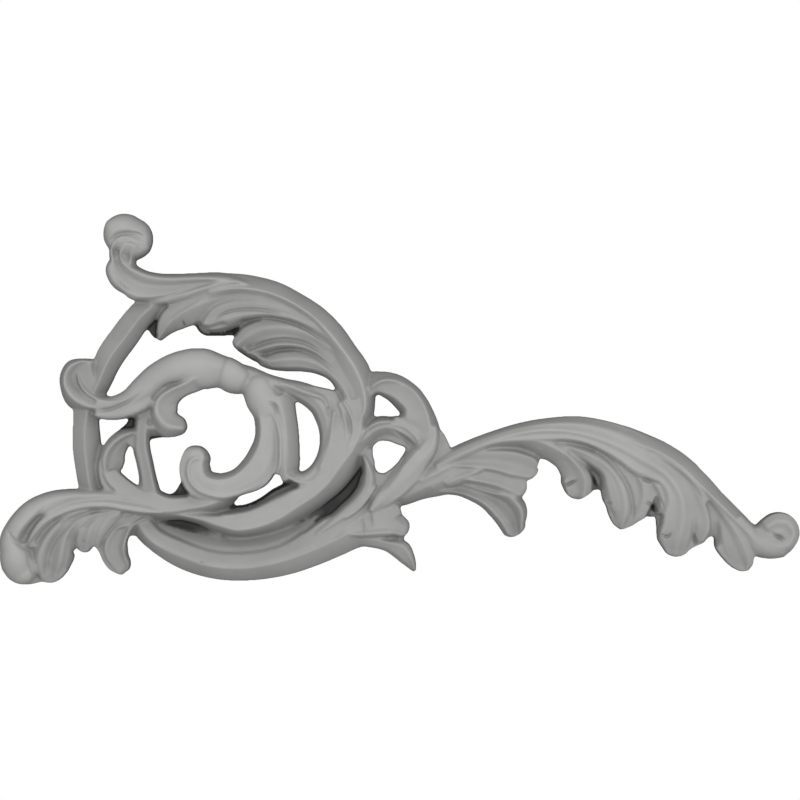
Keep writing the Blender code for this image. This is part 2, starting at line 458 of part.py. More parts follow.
def right_leaf():
    yield "leaf_root", [
        (385, 502, 3, 7, 9), (402, 493, 5, 13, 10), (416, 485, 8, 16, 11), (430, 478, 14, 20, 12),
        (450, 470, 18, 24, 12), (470, 466, 18, 26, 11), (490, 466, 14, 14, 9),
    ], (((-1, 0.8), (0, 1), (0.35, 0.92), (1, 0.3)), "straight"), (0, 0)
    yield "long_back", [
        (436, 466, 5, 4, 13), (455, 456.5, 9, 4, 14), (470, 450, 9.5, 3.5, 14.8),
        (485, 443.5, 9, 3.5, 15.4),
        (500, 438, 8.7, 4.5, 16), (515, 434, 9.3, 6.5, 16.5), (532, 431, 10.3, 9.5, 17),
        (550, 430, 12, 10.5, 17.2),
        (565, 431, 14.5, 9, 17.3), (580, 433.5, 17, 8.5, 17.3), (596, 438, 19, 9.5, 17.2),
        (612, 444, 21, 11.5, 17),
        (627, 451, 22.5, 14, 16.8), (642, 459.5, 22, 16, 16.5), (655, 467, 20, 14, 16),
        (666, 476, 18, 11, 15.6),
        (674, 486, 17, 12, 15.2), (680, 498, 16, 16, 14.6), (682, 511, 16, 20, 14),
        (681, 525, 16, 20, 13),
        (677, 539, 17.6, 19, 11.5), (675, 549.5, 15.6, 13, 9.4),
    ], (((-1, 0.5), (-0.5, 0.86), (0, 1), (0.4, 0.93), (0.75, 0.955), (1, 0.88)), "soft"), (0, 0.6)
    yield "long_edge", [
        (470, 449, 2, 4, 14), (485, 444.5, 3, 7.5, 14.8), (500, 441.5, 3, 8, 15.4),
        (520, 440, 3, 9, 15.8),
        (538, 441, 3, 14, 15.4), (552, 446.5, 4, 14, 14.6), (565, 454, 4, 15, 13.6),
    ], (((-1, 0.95), (0, 1), (1, 0.42)), "straight"), (0, 0)
    yield "lobe_a", [
        (436, 467, 3, 3, 12.4), (455, 461, 6, 6.5, 12.6), (475, 459.5, 9, 9.5, 12.8),
        (495, 460, 11.5, 12, 12.6),
        (513, 462, 12.5, 15.5, 12), (527.5, 466.5, 12.3, 13.4, 10.6),
    ], (((-1, 0.75), (-0.82, 1), (0.1, 0.88), (0.78, 1), (1, 0.8)), "soft"), (0, 0.9)
    yield "lobe_b", [
        (440, 472, 3, 3, 11.6), (460, 475, 4, 6, 11.8), (480, 477, 6, 7.5, 11.8),
        (500, 480.5, 8, 10, 11.6),
        (513, 485, 11, 12, 11), (519, 489, 9.8, 10.5, 10),
    ], (((-1, 0.88), (0, 0.9), (0.5, 1), (1, 0.72)), "soft"), (0, 0.7)
    yield "lobe_c", [
        (440, 486, 4, 9, 7), (458, 487, 4, 8.4, 7.5), (474, 491, 5, 10.2, 8.6), (488, 498, 10, 11, 9.6),
        (500, 508.5, 23.5, 12, 10), (508, 518.5, 22.2, 12, 9.6), (512.5, 528, 14, 10.6, 8.2),
    ], (((-1, 0.45), (-0.7, 1), (-0.3, 0.62), (0.2, 0.86), (0.6, 1), (1, 0.45)), "soft"), (0, 0.7)
    yield "lobe_bed", [
        (480, 470, 12, 16, 6.5), (500, 472, 14, 20, 6.5), (518, 480, 14, 10, 5.5),
    ], SHEET, (0, 0.7)
    yield "lobe_bed", [(500, 492, 8, 10, 5), (514, 500, 12, 12, 5)], SHEET, (0, 0.6)
    yield "lobe_bed", [(505, 452, 10, 8, 7), (530, 453, 10, 9, 6), (548, 452, 8, 6, 6)], SHEET, (0, 0)
    yield "lobe_bed", [
        (560, 450, 8, 8, 8), (582, 459, 10, 12, 6.5), (593, 471, 10, 12, 4.5), (599, 488, 6, 6, 3.5),
    ], SHEET, (0, 0.2)
    yield "lobe_bed", [
        (596, 449, 6, 5, 12.6), (612, 461, 7, 6, 12.5), (623, 478, 8, 8, 12), (630, 497, 8, 8, 10.8),
        (630, 512, 6, 8, 9),
    ], SHEET, (0, 0.6)
    yield "lobe_bed", [
        (648, 480, 10, 12, 6), (652, 500, 10, 12, 4.5), (650, 516, 5, 7, 3.5),
    ], SHEET, (0, 0.3)
    yield "lobe_bed", [
        (692, 488, 9, 10, 11), (703, 508, 8, 12, 10.2), (707, 525, 7, 12, 9), (708, 534, 6, 9, 7),
    ], SHEET, (0, 0.4)
    yield "lobe_bed", [
        (538, 444, 4, 6, 11), (570, 446, 4, 6, 11), (603, 456, 5, 6, 10.5),
    ], SHEET, (0, 0)
    yield "leaflet", [
        (421, 481, 4, 4, 12.2), (432, 474.5, 6, 6, 13.2), (442, 470, 4.5, 4.5, 13.2),
        (449, 467.5, 1.5, 1.5, 12.8),
    ], LEAFLET, (0.3, 0.2)
    yield "leaflet", [
        (446, 483, 4, 4, 11.2), (457, 478, 6, 6, 12.4), (470, 473.5, 4.5, 4.5, 12.6),
        (482, 470, 1.5, 1.5, 12.4),
    ], LEAFLET, (0.3, 0.2)
    yield "lobe_d", [
        (548, 444, 3, 10, 13.5), (560, 450, 4, 14, 13.5), (570, 457.5, 5, 16.5, 13.2),
        (578.5, 467, 6, 20.5, 12.6),
        (584, 478, 7.5, 26, 11.6), (584, 490, 8, 22, 9.8),
    ], (((-1, 0.75), (0, 1), (0.3, 0.8), (1, 0.5)), "straight"), (0, 0.75)
    yield "lobe_e", [
        (556, 443.5, 2, 5, 13), (574, 448.5, 4, 7.5, 13.4), (592, 456.5, 6, 10, 13.6),
        (608, 467, 7, 12, 13.6),
        (619, 482, 7, 19.5, 13.2), (624, 498, 6, 21, 12.6), (624.5, 512, 5.5, 17.5, 11.6),
        (622, 522, 4, 9, 10), (621, 528, 2, 2.5, 8.6),
    ], (((-1, 0.84), (-0.35, 0.97), (0, 1), (0.3, 0.93), (0.6, 0.87), (1, 0.5)), "soft"), (0, 0.3)
    yield "lobe_e_low", [
        (608, 452, 5, 5, 15.4), (624, 461, 9, 7, 15), (638, 474, 14, 9, 14.2),
        (643, 490, 13, 12, 12.6), (641, 505, 9, 13, 11),
        (633, 519, 7, 9, 9.2), (628, 524, 3, 3, 8),
    ], (((-1, 0.9), (0, 1), (0.6, 0.82), (1, 0.7)), "soft"), (0, 0.3)
    yield "lobe_f", [
        (642, 472, 8, 5, 14.6), (654, 483, 10, 6, 14), (661, 496, 10, 6, 12.6), (663, 508, 10, 8, 11.4),
    ], (((-1, 0.85), (0, 1), (1, 0.6)), "soft"), (0, 0.4)
    frills = (
        [(676, 503, 4, 4, 11), (667, 508, 5, 5, 11.4), (658, 512.5, 2.5, 3, 9.5)],
        [(679, 510, 4, 5, 11), (669, 520, 6, 6, 11), (661, 530, 4, 5, 9)],
        [(680, 524, 5, 5, 10.5), (670, 536, 5, 7, 10), (662, 541, 3, 4, 7)],
    )
    for rows in frills:
        yield "frill", rows, SOFT, (0, 0.7)
    yield "frill_bed", [
        (652, 500, 10, 5, 4), (661, 512, 12, 6, 4.5), (667, 530, 12, 12.5, 5), (674, 548, 14, 11.5, 5),
    ], SHEET, (0, 0.6)
    yield "lobe_bed", [(571, 478, 10, 8, 9), (576, 492, 9, 10, 8)], SHEET, (0.5, 0.6)
    yield "lobe_bed", [
        (612, 500, 8, 8, 8.5), (618, 520, 10, 10, 8), (636, 514, 8, 9, 8),
    ], SHEET, (0.5, 0.5)
    yield "lobe_bed", [
        (668, 535, 12, 12, 8), (676, 548, 12, 12, 8), (694, 540, 9, 9, 8),
    ], SHEET, (0.5, 0.5)
    yield "lobe_bed", [
        (722, 545, 9, 9, 8.5), (736, 560, 12, 12, 8), (747, 564, 8, 8, 8),
    ], SHEET, (0.5, 0.5)
    yield "long_spine", [
        (606, 432, 10, 6, 14.6), (622, 437.5, 12, 5, 15), (641, 445, 12.5, 4.5, 15.2),
        (661, 453.5, 12, 4.5, 15.2),
        (680, 466, 12.2, 4.5, 15), (700, 485.5, 12.3, 4.5, 14.4), (715, 500, 10.6, 5, 13.8),
        (730, 515, 10.6, 5.5, 13.2),
        (745, 530, 9.6, 5, 12.6), (757, 543, 6, 5, 12),
    ], (((-1, 0.38), (0, 1), (1, 0.85)), "straight"), (0, 0)
    yield "spine_twin", [
        (650, 452, 1.5, 1.5, 14.4), (668, 462, 1.8, 1.8, 14.8), (685, 474.5, 1.8, 1.8, 14.6),
        (697, 488, 1.5, 1.5, 14),
        (705, 502, 1.5, 1.5, 13),
    ], CORD, (0.4, 0.4)
    yield "lobe_g", [
        (664, 462, 5, 5, 13), (680, 474, 6, 8, 13), (690, 488, 7, 10, 13), (697, 502, 8, 13, 12.8),
        (701, 515, 9.5, 14, 12.2), (702, 527, 9.5, 12, 11.2), (699, 537, 7.5, 9, 9.6),
    ], (((-1, 0.72), (-0.6, 1), (0.3, 0.92), (1, 0.8)), "soft"), (0, 0.7)
    yield "lobe_h", [
        (700, 488, 5, 5, 11), (712, 503, 7, 6, 11.8), (724, 517, 8, 13, 12), (735, 532, 10, 24, 12),
        (743, 547, 10, 28, 11), (746, 556, 7.5, 24, 10.2), (747, 563, 5.5, 17, 9.4),
        (745.5, 568, 3, 8, 8.6),
    ], (((-1, 0.9), (0, 1), (0.25, 0.84), (0.6, 0.78), (1, 0.45)), "straight"), (0, 0.5)


def end_curl():
    yield "curl_stalk", [
        (735, 518, 8, 8, 12), (748, 531, 9, 10, 12), (758, 540.5, 9, 15, 12.5),
        (770, 545.5, 9, 13, 12.5), (780, 544, 9, 13.4, 12.5),
    ], ROUND, (0, 0.4)
    yield "curl_coil", [
        (757, 528, 6, 6, 10), (764, 540, 9, 7.2, 12.4), (775, 546, 10, 6.4, 12.4),
        (787, 543.5, 10, 6.4, 12.2), (792, 533, 7.5, 7, 12.2),
        (787, 522.5, 9, 7.6, 12.4), (776, 521, 8.5, 8.2, 12.6), (766, 526, 8, 7, 12),
    ], (((-1, 0.9), (0, 1), (1, 0.8)), "soft"), (0.4, 0.6)
    yield "curl_eye", [(770, 530, 8, 8, 11.4), (780, 532, 7, 7, 11.8)], FLAT, (0.8, 0.8)
    yield "curl_bed", [(770, 535, 17, 19.5, 8), (780, 535, 20.5, 20.5, 8)], SHEET, (0.9, 0.8)


def trims():
    """Where the outline is trimmed: rows of (x, y, waste on the left, waste on the right)."""
    # under the lobes of the right leaf, from the lower left to the end curl
    yield [
        (541, 458.5, 0, 10), (551, 464, 0, 10), (557, 472, 0, 8), (561, 483, 0, 8), (566, 493, 0, 8),
        (573, 498.5, 0, 8),
        (580, 499.5, 0, 8), (587, 496, 0, 8), (594, 492, 0, 8), (599, 496, 0, 8), (605, 504, 0, 8),
        (609, 516, 0, 8),
        (614, 524.5, 0, 8), (621, 530, 0, 8),
    ]
    yield [(621, 530, 0, 8), (631, 526.5, 0, 8), (640, 521, 0, 6), (648, 517, 0, 5), (655, 519, 0, 4)]
    yield [
        (655.5, 517, 0, 5), (656.5, 529, 0, 6), (657.5, 539, 0, 6), (661.5, 546, 0, 7),
        (667.5, 554, 0, 8), (675, 556.8, 0, 8),
        (684, 555, 0, 8), (691, 549, 0, 8), (698, 545.5, 0, 6), (704, 543, 0, 5), (708, 538.5, 0, 4),
        (712, 542, 0, 5),
        (717, 551, 0, 6), (725, 561, 0, 8), (734, 568.5, 0, 8), (743, 571.5, 0, 8), (750, 569.5, 0, 6),
        (753.5, 563, 0, 4),
        (754.5, 556.5, 0, 3),
    ]
    # round the lower gap of the right loop, and along the hook in the volute gap
    yield [
        (379, 472.5, 0, 3), (375.5, 463, 0, 4), (373, 453, 0, 4), (374, 446, 0, 4), (379, 441.5, 0, 4),
        (387, 441, 0, 4), (396, 444, 0, 4),
        (405.5, 448.7, 0, 3), (403, 454, 0, 4), (396, 464, 0, 4), (389, 470, 0, 4), (383, 473, 0, 4),
        (377, 470.5, 0, 4), (375, 462, 0, 4),
    ]
    yield [
        (205, 388.5, 4, 0), (196, 392, 4, 0), (187, 395.5, 4, 0), (180.5, 400.5, 4, 0),
        (177.6, 407, 4, 0), (180, 413.5, 4, 0),
        (185.5, 419.5, 4, 0), (187.3, 426, 4, 0), (185, 432.5, 4, 0), (177, 436.3, 4, 0),
        (166, 437.3, 4, 0),
    ]
    # under the fans of the left leaf
    yield [
        (4, 571, 0, 8), (10, 579, 0, 8), (19, 583.5, 0, 8), (31, 584.3, 0, 8), (42, 582, 0, 8),
        (52, 583, 0, 8), (60, 579.5, 0, 8),
        (68, 571, 0, 8), (74, 560, 0, 8), (79, 550.5, 0, 6),
    ]
    yield [(76.5, 548, 0, 5), (80.5, 551.5, 0, 6), (85, 554, 0, 6), (90, 550.5, 0, 5), (94, 546, 0, 4)]
    yield [
        (94, 546, 0, 4), (98.5, 551, 0, 6), (103, 561, 0, 7), (109, 569, 0, 8), (118, 574, 0, 8),
        (126, 575.5, 0, 8), (130.5, 571.5, 0, 8),
        (131, 562, 0, 8), (129, 551, 0, 8), (127.5, 543, 0, 7), (130, 536.5, 0, 6), (137, 537, 0, 5),
    ]


def grooves():
    """Creases and folds cut into the face: rows of (x, y, half width, depth in millimetres)."""
    yield [
        (112, 244, 3.4, 0), (119, 236.5, 4.7, 1.53), (130, 235, 5.4, 1.7), (141, 238, 4.7, 1.36),
        (147, 242, 2.7, 0),
    ]
    yield [(131, 262, 2.7, 0), (130, 254, 2.7, 1.19), (135, 248, 2, 0)]
    yield [(118, 262, 2, 0), (117, 253, 2, 1.02), (120, 247, 1.6, 0)]
    # under the neck and along the top of the leaf
    yield [(140, 301, 2, 0), (165, 297.5, 2.7, 1.02), (190, 290, 2.7, 0.85), (215, 284, 2, 0)]
    yield [
        (252, 318, 2, 0), (275, 318.5, 2.7, 1.53), (300, 326, 2.7, 1.53), (320, 338, 2.7, 1.19),
        (338, 353, 2, 0),
    ]
    yield [
        (247, 353, 2, 0), (262, 344, 2.7, 1.02), (285, 339.5, 2.7, 1.19), (305, 343, 2.7, 1.02),
        (322, 354, 2.7, 0.68), (335, 368, 2, 0),
    ]
    yield [
        (262, 357, 2, 0), (280, 350.5, 2.7, 1.36), (300, 350, 2.7, 1.36), (318, 358, 2.7, 1.02),
        (333, 371, 2, 0),
    ]
    # the scroll stem and its beads
    yield [(97, 411, 2, 0), (112, 408.5, 2.4, 1.27), (128, 402.5, 2.4, 1.27), (144, 391, 1.6, 0)]
    yield [(222, 361, 2, 0), (217.5, 372, 2.7, 0.77), (216, 384, 2, 0)]
    yield [(269, 402, 2.4, 0), (275, 405, 2.7, 1.36), (278, 414, 2, 0)]
    yield [(346, 411, 3.4, 0), (350, 423, 4.1, 1.02), (351, 437, 2.7, 0)]
    # folds of the right leaf and the eye of the end curl
    yield [(636, 476.5, 2, 0), (647, 480, 2.7, 1.19), (659, 483, 2, 0)]
    yield [(774, 534, 2.7, 0), (779, 537, 3.4, 1.02), (784, 539, 2, 0)]


FORMS = (
    ring_bar, sweeps, knob, neck, upper_leaf, main_stem,
    strut, left_leaf, volute, right_loop, right_leaf, end_curl,
)


def smooth_line(rows, spacing):
    """Evenly spaced rows on a smooth curve through the given ones; sizes never swing past them."""
    rows = np.array(rows, float)
    gaps = np.hypot(*np.diff(rows[:, :2], axis=0).T)
    along = np.concatenate([[0.0], np.cumsum(gaps)])
    slope = np.empty_like(rows)
    last = len(rows) - 1
    for i in range(1, last):
        before = (rows[i] - rows[i - 1]) / gaps[i - 1]
        after = (rows[i + 1] - rows[i]) / gaps[i]
        slope[i] = (before * gaps[i] + after * gaps[i - 1]) / (gaps[i - 1] + gaps[i])
    slope[0] = (rows[1] - rows[0]) / gaps[0]
    slope[last] = (rows[last] - rows[last - 1]) / gaps[-1]
    if last > 1:
        slope[0] = 1.5 * slope[0] - 0.5 * slope[1]
        slope[last] = 1.5 * slope[last] - 0.5 * slope[last - 1]
    where = np.linspace(0, along[-1], max(3, int(along[-1] / spacing) + 2))
    part = np.clip(np.searchsorted(along, where, side="right") - 1, 0, last - 1)
    gap = gaps[part][:, None]
    t = (where - along[part])[:, None] / gap
    start, end = rows[part], rows[part + 1]
    line = (2 * t**3 - 3 * t**2 + 1) * start + (3 * t**2 - 2 * t**3) * end
    line += ((t**3 - 2 * t**2 + t) * slope[part] + (t**3 - t**2) * slope[part + 1]) * gap
    low, high = np.minimum(start, end), np.maximum(start, end)
    line[:, 2:] = np.clip(line[:, 2:], low[:, 2:], high[:, 2:])
    return line


def carved(knots, bend, places):
    """Share of the crest height at each place across a stroke."""
    at = np.array([knot[0] for knot in knots], float)
    shares = np.array([knot[1] for knot in knots], float)
    part = np.clip(np.searchsorted(at, places, side="right") - 1, 0, len(at) - 2)
    t = (places - at[part]) / (at[part + 1] - at[part])
    start, end = shares[part], shares[part + 1]
    fall = np.where(start > end, t, 1 - t)
    if bend == "round":
        rise = np.sqrt(np.clip(1 - fall * fall, 0, 1))
    elif bend == "soft":
        rise = 1 - fall * fall * (3 - 2 * fall)
    else:
        rise = 1 - fall
    return np.minimum(start, end) + np.abs(start - end) * rise


def end_cap(row, way, roundness, spacing):
    """Rows that round off the end of a stroke."""
    reach = 0.5 * (row[2] + row[3]) * roundness
    count = max(3, int(1.6 * reach / spacing) + 2)
    rows = []
    for k in range(1, count + 1):
        angle = 0.49 * np.pi * k / count
        out = row.copy()
        out[:2] += way * reach * np.sin(angle)
        out[2:4] *= np.cos(angle)
        out[4] *= 1 - CAP_DROP * (1 - np.cos(angle))
        rows.append(out)
    return rows


def stroke_face(rows, profile, caps):
    """Close points on the face of one stroke: their places on the drawing and their heights."""
    spacing = 0.45 * CELL
    line = smooth_line(rows, spacing)
    way = np.gradient(line[:, :2], axis=0)
    way /= np.maximum(np.hypot(way[:, 0], way[:, 1]), 1e-9)[:, None]
    start = end_cap(line[0], -way[0], caps[0], spacing) if caps[0] else []
    end = end_cap(line[-1], way[-1], caps[1], spacing) if caps[1] else []
    way = np.array([way[0]] * len(start) + list(way) + [way[-1]] * len(end))
    line = np.array(start[::-1] + list(line) + end)
    left = np.stack([way[:, 1], -way[:, 0]], 1)
    places = np.linspace(-1, 1, int(line[:, 2:4].max() * 2 / spacing) + 3)
    spread = -places * np.where(places < 0, line[:, 2:3], line[:, 3:4])
    flat = line[:, None, :2] + spread[..., None] * left[:, None]
    height = line[:, 4:5] * carved(*profile, places)
    return flat.reshape(-1, 2), height.reshape(-1)


def cells_of(flat):
    """Row and column in the grid of heights for places on the drawing."""
    row = np.rint((flat[:, 1] - DRAWN[0][1]) / CELL).astype(int)
    column = np.rint((flat[:, 0] - DRAWN[0][0]) / CELL).astype(int)
    return row, column


def blur(field, spread):
    """The grid softened over so many cells."""
    reach = int(3 * spread) + 1
    offsets = np.arange(-reach, reach + 1)
    weights = np.exp(-0.5 * (offsets / spread) ** 2)
    weights /= weights.sum()
    for turn in range(2):
        edged = np.pad(field, ((reach, reach), (0, 0)), mode="edge")
        field = sum(w * edged[reach + k : reach + k + len(field)] for k, w in zip(offsets, weights)).T
    return field


def widest(field, radius):
    """The highest value within a radius of each cell."""
    out = field.copy()
    reach = int(radius)
    for i in range(-reach, reach + 1):
        for j in range(-reach, reach + 1):
            if i * i + j * j <= radius * radius:
                out = np.maximum(out, np.roll(field, (i, j), (0, 1)))
    return out


def laid_strokes(shape):
    """Heights of all strokes laid over one another, each melting a little into those below."""
    high = np.zeros(shape)
    inside = np.zeros(shape, bool)
    for form in FORMS:
        for name, rows, profile, caps in form():
            flat, height = stroke_face(rows, profile, caps)
            row, column = cells_of(flat)
            box = (slice(row.min(), row.max() + 1), slice(column.min(), column.max() + 1))
            layer = np.full(high[box].shape, -1.0)
            np.maximum.at(layer, (row - row.min(), column - column.min()), height)
            here = layer >= 0
            below, held = high[box], inside[box]
            near = np.maximum(BLEND - np.abs(below - layer), 0)
            melted = np.maximum(below, layer) + near**2 / (4 * BLEND)
            high[box] = np.where(here & held, melted, np.where(here, layer, below))
            inside[box] = held | here
    return high, inside


def waste(shape):
    """The places that are trimmed off the outline."""
    cut = np.zeros(shape, bool)
    for rows in trims():
        flat, depth = stroke_face([(x, y, left, right, 1) for x, y, left, right in rows], SHEET, (0, 0))
        cut[cells_of(flat)] = True
    return cut


def carried_out(high, reach):
    """The heights carried on past the outline, so that softening doesn't drop the edges."""
    known = high > 0
    high = np.where(known, high, 0)
    around = [(i, j) for i in (-1, 0, 1) for j in (-1, 0, 1) if i or j]
    for ring in range(reach):
        total = sum(np.roll(high, step, (0, 1)) for step in around)
        count = sum(np.roll(known, step, (0, 1)).astype(int) for step in around)
        grown = ~known & (count > 0)
        high[grown] = total[grown] / count[grown]
        known = known | grown
    return high


def relief():
    """Heights of the carved face in millimetres on the grid; behind the back outside the outline."""
    (left, top), (right, bottom) = DRAWN
    shape = (int((bottom - top) / CELL) + 1, int((right - left) / CELL) + 1)
    high, inside = laid_strokes(shape)
    slit = SLIT / CELL
    inside = ~widest(~widest(inside, slit), slit)
    inside &= ~waste(shape)
    high = carried_out(high, int(6 / CELL))
    high = -widest(-widest(high, slit), slit)
    face = blur(high, SOFTENING / CELL)
    for rows in grooves():
        flat, depth = stroke_face([(x, y, w, w, d) for x, y, w, d in rows], HOLLOW, (0, 0))
        row, column = cells_of(flat)
        cut = np.zeros(shape)
        np.maximum.at(cut, (row, column), depth)
        face = face - cut
    face = blur(face, 0.45 / CELL)
    spread = OUTLINE_SOFTENING / CELL
    share = np.clip(blur(inside.astype(float), spread), 1e-4, 1 - 1e-4)
    away = 0.5875 * OUTLINE_SOFTENING * np.log(share / (1 - share))
    turned = np.clip(1 - away / EDGE_ROUND, 0, 1)
    face = face - 0.6 * EDGE_ROUND * (1 - np.sqrt(1 - turned**2))
    face = face - WALL_FALL * np.maximum(0.45 - away, 0)
    return np.maximum(face, -BEHIND)


def slab(face):
    """A closed slab under the carved face, kept only where the face is near or above the back."""
    rows, columns = face.shape
    kept = face > 0.1 - BEHIND
    kept = kept[:-1, :-1] | kept[1:, :-1] | kept[:-1, 1:] | kept[1:, 1:]
    # cells that would touch only at a corner get both their neighbours
    for turn in range(2):
        falling = kept[:-1, :-1] & kept[1:, 1:] & ~kept[:-1, 1:] & ~kept[1:, :-1]
        rising = ~kept[:-1, :-1] & ~kept[1:, 1:] & kept[:-1, 1:] & kept[1:, :-1]
        kept[:-1, 1:] |= falling
        kept[:-1, :-1] |= rising
    row, column = np.nonzero(kept)
    corner = row * columns + column
    ring = np.stack([corner, corner + columns, corner + columns + 1, corner + 1], 1)
    used, first = np.unique(ring, return_inverse=True)
    top = first.reshape(-1, 4)
    count = len(used)
    x = ((used % columns) * CELL + DRAWN[0][0] - MOUNT[0]) * STEP
    z = (MOUNT[1] - (used // columns) * CELL - DRAWN[0][1]) * STEP
    front = np.stack([x, -0.001 * face.reshape(-1)[used], z], 1)
    back = np.stack([x, np.full(count, 0.001 * (BEHIND + 1)), z], 1)
    sides = []
    padded = np.pad(kept, 1)
    for side, (i, j) in enumerate(((0, -1), (1, 0), (0, 1), (-1, 0))):
        bare = ~padded[1 + i : rows + i, 1 + j : columns + j][kept]
        start, end = top[bare, side], top[bare, (side + 1) % 4]
        sides.append(np.stack([end, start, start + count, end + count], 1))
    quads = np.concatenate([top, top[:, ::-1] + count] + sides)
    mesh = bpy.data.meshes.new(NAME)
    mesh.from_pydata(np.concatenate([front, back]).tolist(), [], quads.tolist())
    return mesh


def clear():
    for thing in list(bpy.data.objects):
        bpy.data.objects.remove(thing)


def primer():
    material = bpy.data.materials.new("grey primer")
    material.use_nodes = True
    surface = material.node_tree.nodes["Principled BSDF"]
    surface.inputs["Base Color"].default_value = COLOUR
    surface.inputs["Roughness"].default_value = ROUGHNESS
    surface.inputs["Metallic"].default_value = 0.0
    return material


def wall_cutter(collection):
    """A slab behind the back plane, which cuts the back flat."""
    shape = bmesh.new()
    bmesh.ops.create_cube(shape, size=1.0)
    for corner in shape.verts:
        corner.co.x *= 1.2
        corner.co.y = corner.co.y * 0.02 + 0.01
        corner.co.z *= 1.2
    mesh = bpy.data.meshes.new("back_cutter")
    shape.to_mesh(mesh)
    shape.free()
    cutter = bpy.data.objects.new("back_cutter", mesh)
    cutter.hide_render = True
    cutter.display_type = "WIRE"
    collection.objects.link(cutter)
    return cutter


def build():
    clear()
    parts = bpy.data.collections.new("leaf scroll onlay")
    helpers = bpy.data.collections.new("helpers")
    bpy.context.scene.collection.children.link(parts)
    bpy.context.scene.collection.children.link(helpers)
    casting = bpy.data.objects.new(NAME, slab(relief()))
    parts.objects.link(casting)
    casting.data.materials.append(primer())
    thin = casting.modifiers.new("thin out", "DECIMATE")
    thin.ratio = FACES_KEPT
    back = casting.modifiers.new("flat back", "BOOLEAN")
    back.operation = "DIFFERENCE"
    back.solver = "EXACT"
    back.object = wall_cutter(helpers)


build()
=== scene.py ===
"""Looks of the leaf scroll onlay: the cast carving at full detail, its grey primer, the light and
the camera.

The carving is laid out on a full-size drawing in half-millimetre steps, x to the right and y
downwards from its top left corner. Each stem, leaf, rib and floor is a stroke: a smooth line
through rows of (x, y, width to the left, width to the right, height off the back in
millimetres), or of four numbers where both widths are the same. Left is the left hand of someone
walking along the rows. After the rows come the profile carved across the stroke, and how far its
first and last end are rounded, where they are, as a share of the half width. The fine casting
has the strokes of the solid on a finer grid, and small creases, pits and rough edges besides.

The back lies on the plane y = 0, the front faces -y and z is up.
"""

import math
from functools import partial

import bpy
import numpy as np
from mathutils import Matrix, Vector


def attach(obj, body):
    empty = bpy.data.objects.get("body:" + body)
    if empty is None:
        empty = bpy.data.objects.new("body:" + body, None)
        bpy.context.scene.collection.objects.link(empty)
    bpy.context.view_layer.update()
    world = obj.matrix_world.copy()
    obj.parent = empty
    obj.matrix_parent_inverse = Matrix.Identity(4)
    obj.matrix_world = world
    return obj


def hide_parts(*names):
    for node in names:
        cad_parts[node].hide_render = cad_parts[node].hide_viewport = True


NAME = "casting"

# Sizes, in drawing steps where nothing else is said.
STEP = 0.0005  # metres in one step
MM = 0.001  # metres in a millimetre
MOUNT = (340.0, 470.0)  # place of the mount
DRAWN = ((-6.0, 205.0), (806.0, 595.0))  # corners of the part of the drawing that is used
CELL = 0.5  # between the heights of the grid
SPACING = 0.45 * CELL  # between the points laid on a stroke, so close that no cell is missed
BLEND = 0.8  # millimetres over which a stroke melts into the one under it
SLIT = 1.6  # half the widest slit that the casting fills
CARRIED_OUT = 6.0  # how far the heights go on past the outline while the face is softened
SOFTENING = 0.9  # over which the strokes are softened
CREASE_SOFTENING = 0.45  # over which the creases are softened
OUTLINE_SOFTENING = 1.2  # over which the outline is softened
EDGE_ROUND = 2.2  # width of the rounded front edge
EDGE_DROP = 0.6 * EDGE_ROUND  # millimetres that it falls
WALL_START = 0.45  # from the outline inwards, where the side walls begin
WALL_FALL = 13.0  # millimetres that a side wall falls in one step
CAP_DROP = 0.35  # share of its height that a stroke loses round its ends
BEHIND = 2.5  # millimetres that the side walls reach behind the back before it is cut flat
CUTTER = (1.2, 0.02, 1.2)  # metres, the block that cuts the back flat
WAVES = 0.05  # millimetres, the uneven surface that carving by hand leaves
WAVE_SIZE = 5.0
GRAIN_SIZE = 1.0
SEED = 7  # of the waves and the grain
CRISPNESS = ((2.5, 0.22), (6.0, 0.35))  # size of ridges and creases, and how much they gain
MOST_CRISPED = 1.8  # millimetres of a ridge or crease that gain
MOST_TRIANGLES = 188000  # of the casting before its back is cut flat

# How light the primer is painted at so many millimetres off the back, from the crests down: painted light
# makes the crests lighter, and painted shade makes the low floors, low walls and back nearly black.
PAINTED_LIGHT_AND_SHADE_AT_HEIGHT = (
    (18.0, 0.45), (10.0, 0.37), (6.0, 0.31), (3.1, 0.25), (2.4, 0.08), (1.8, 0.03), (0.0, 0.03),
)
TOP_HEIGHT = 20.0  # millimetres, above every crest

# The light round the casting, in strength and watts, and where the camera stands in front of it.
# Places are in metres.
WHITE = (1.0, 1.0, 1.0, 1.0)
WORLD_LIGHT = 0.68  # in front of the casting
BACK_LIGHT = 0.1  # behind it
LAMPS = (("front", (0.03, -2.0, 0.25), 10.5), ("right", (1.5, -1.1, -0.2), 4.5))
LAMP_SIZE = 0.9
LIT_PLACE = (0.03, 0.0, 0.03)
FLOOR_SIZE = 3.0
FLOOR_PLACE = (0.03, -0.5, -0.40)
EYE = (0.0301, -2.003, 0.0351)
LENS = 180.0  # millimetres, on a sensor 36 wide
FAR = 20.0


def across(bend, left, right, *between):
    """A profile: shares of the crest height at the edges, and at places from -1, left, to 1, right."""
    return ((-1, left), *(between or ((0, 1),)), (1, right)), bend


# How the surface runs between a crest and a hollow.
straight, soft, rounded = (partial(across, bend) for bend in ("straight", "soft", "round"))

ROUND = rounded(0.35, 0.35)
SOFT = soft(0.4, 0.4)
CORD = rounded(0.8, 0.8)
FLAT = soft(0.9, 0.9)
SHEET = straight(1, 1)
HOLLOW = soft(0, 0)
LEAFLET = soft(0.86, 0.82)

STROKES = []


def lay(*stroke):
    """One more stroke over those before it: rows, profile, and the rounding of its ends."""
    STROKES.append(stroke)


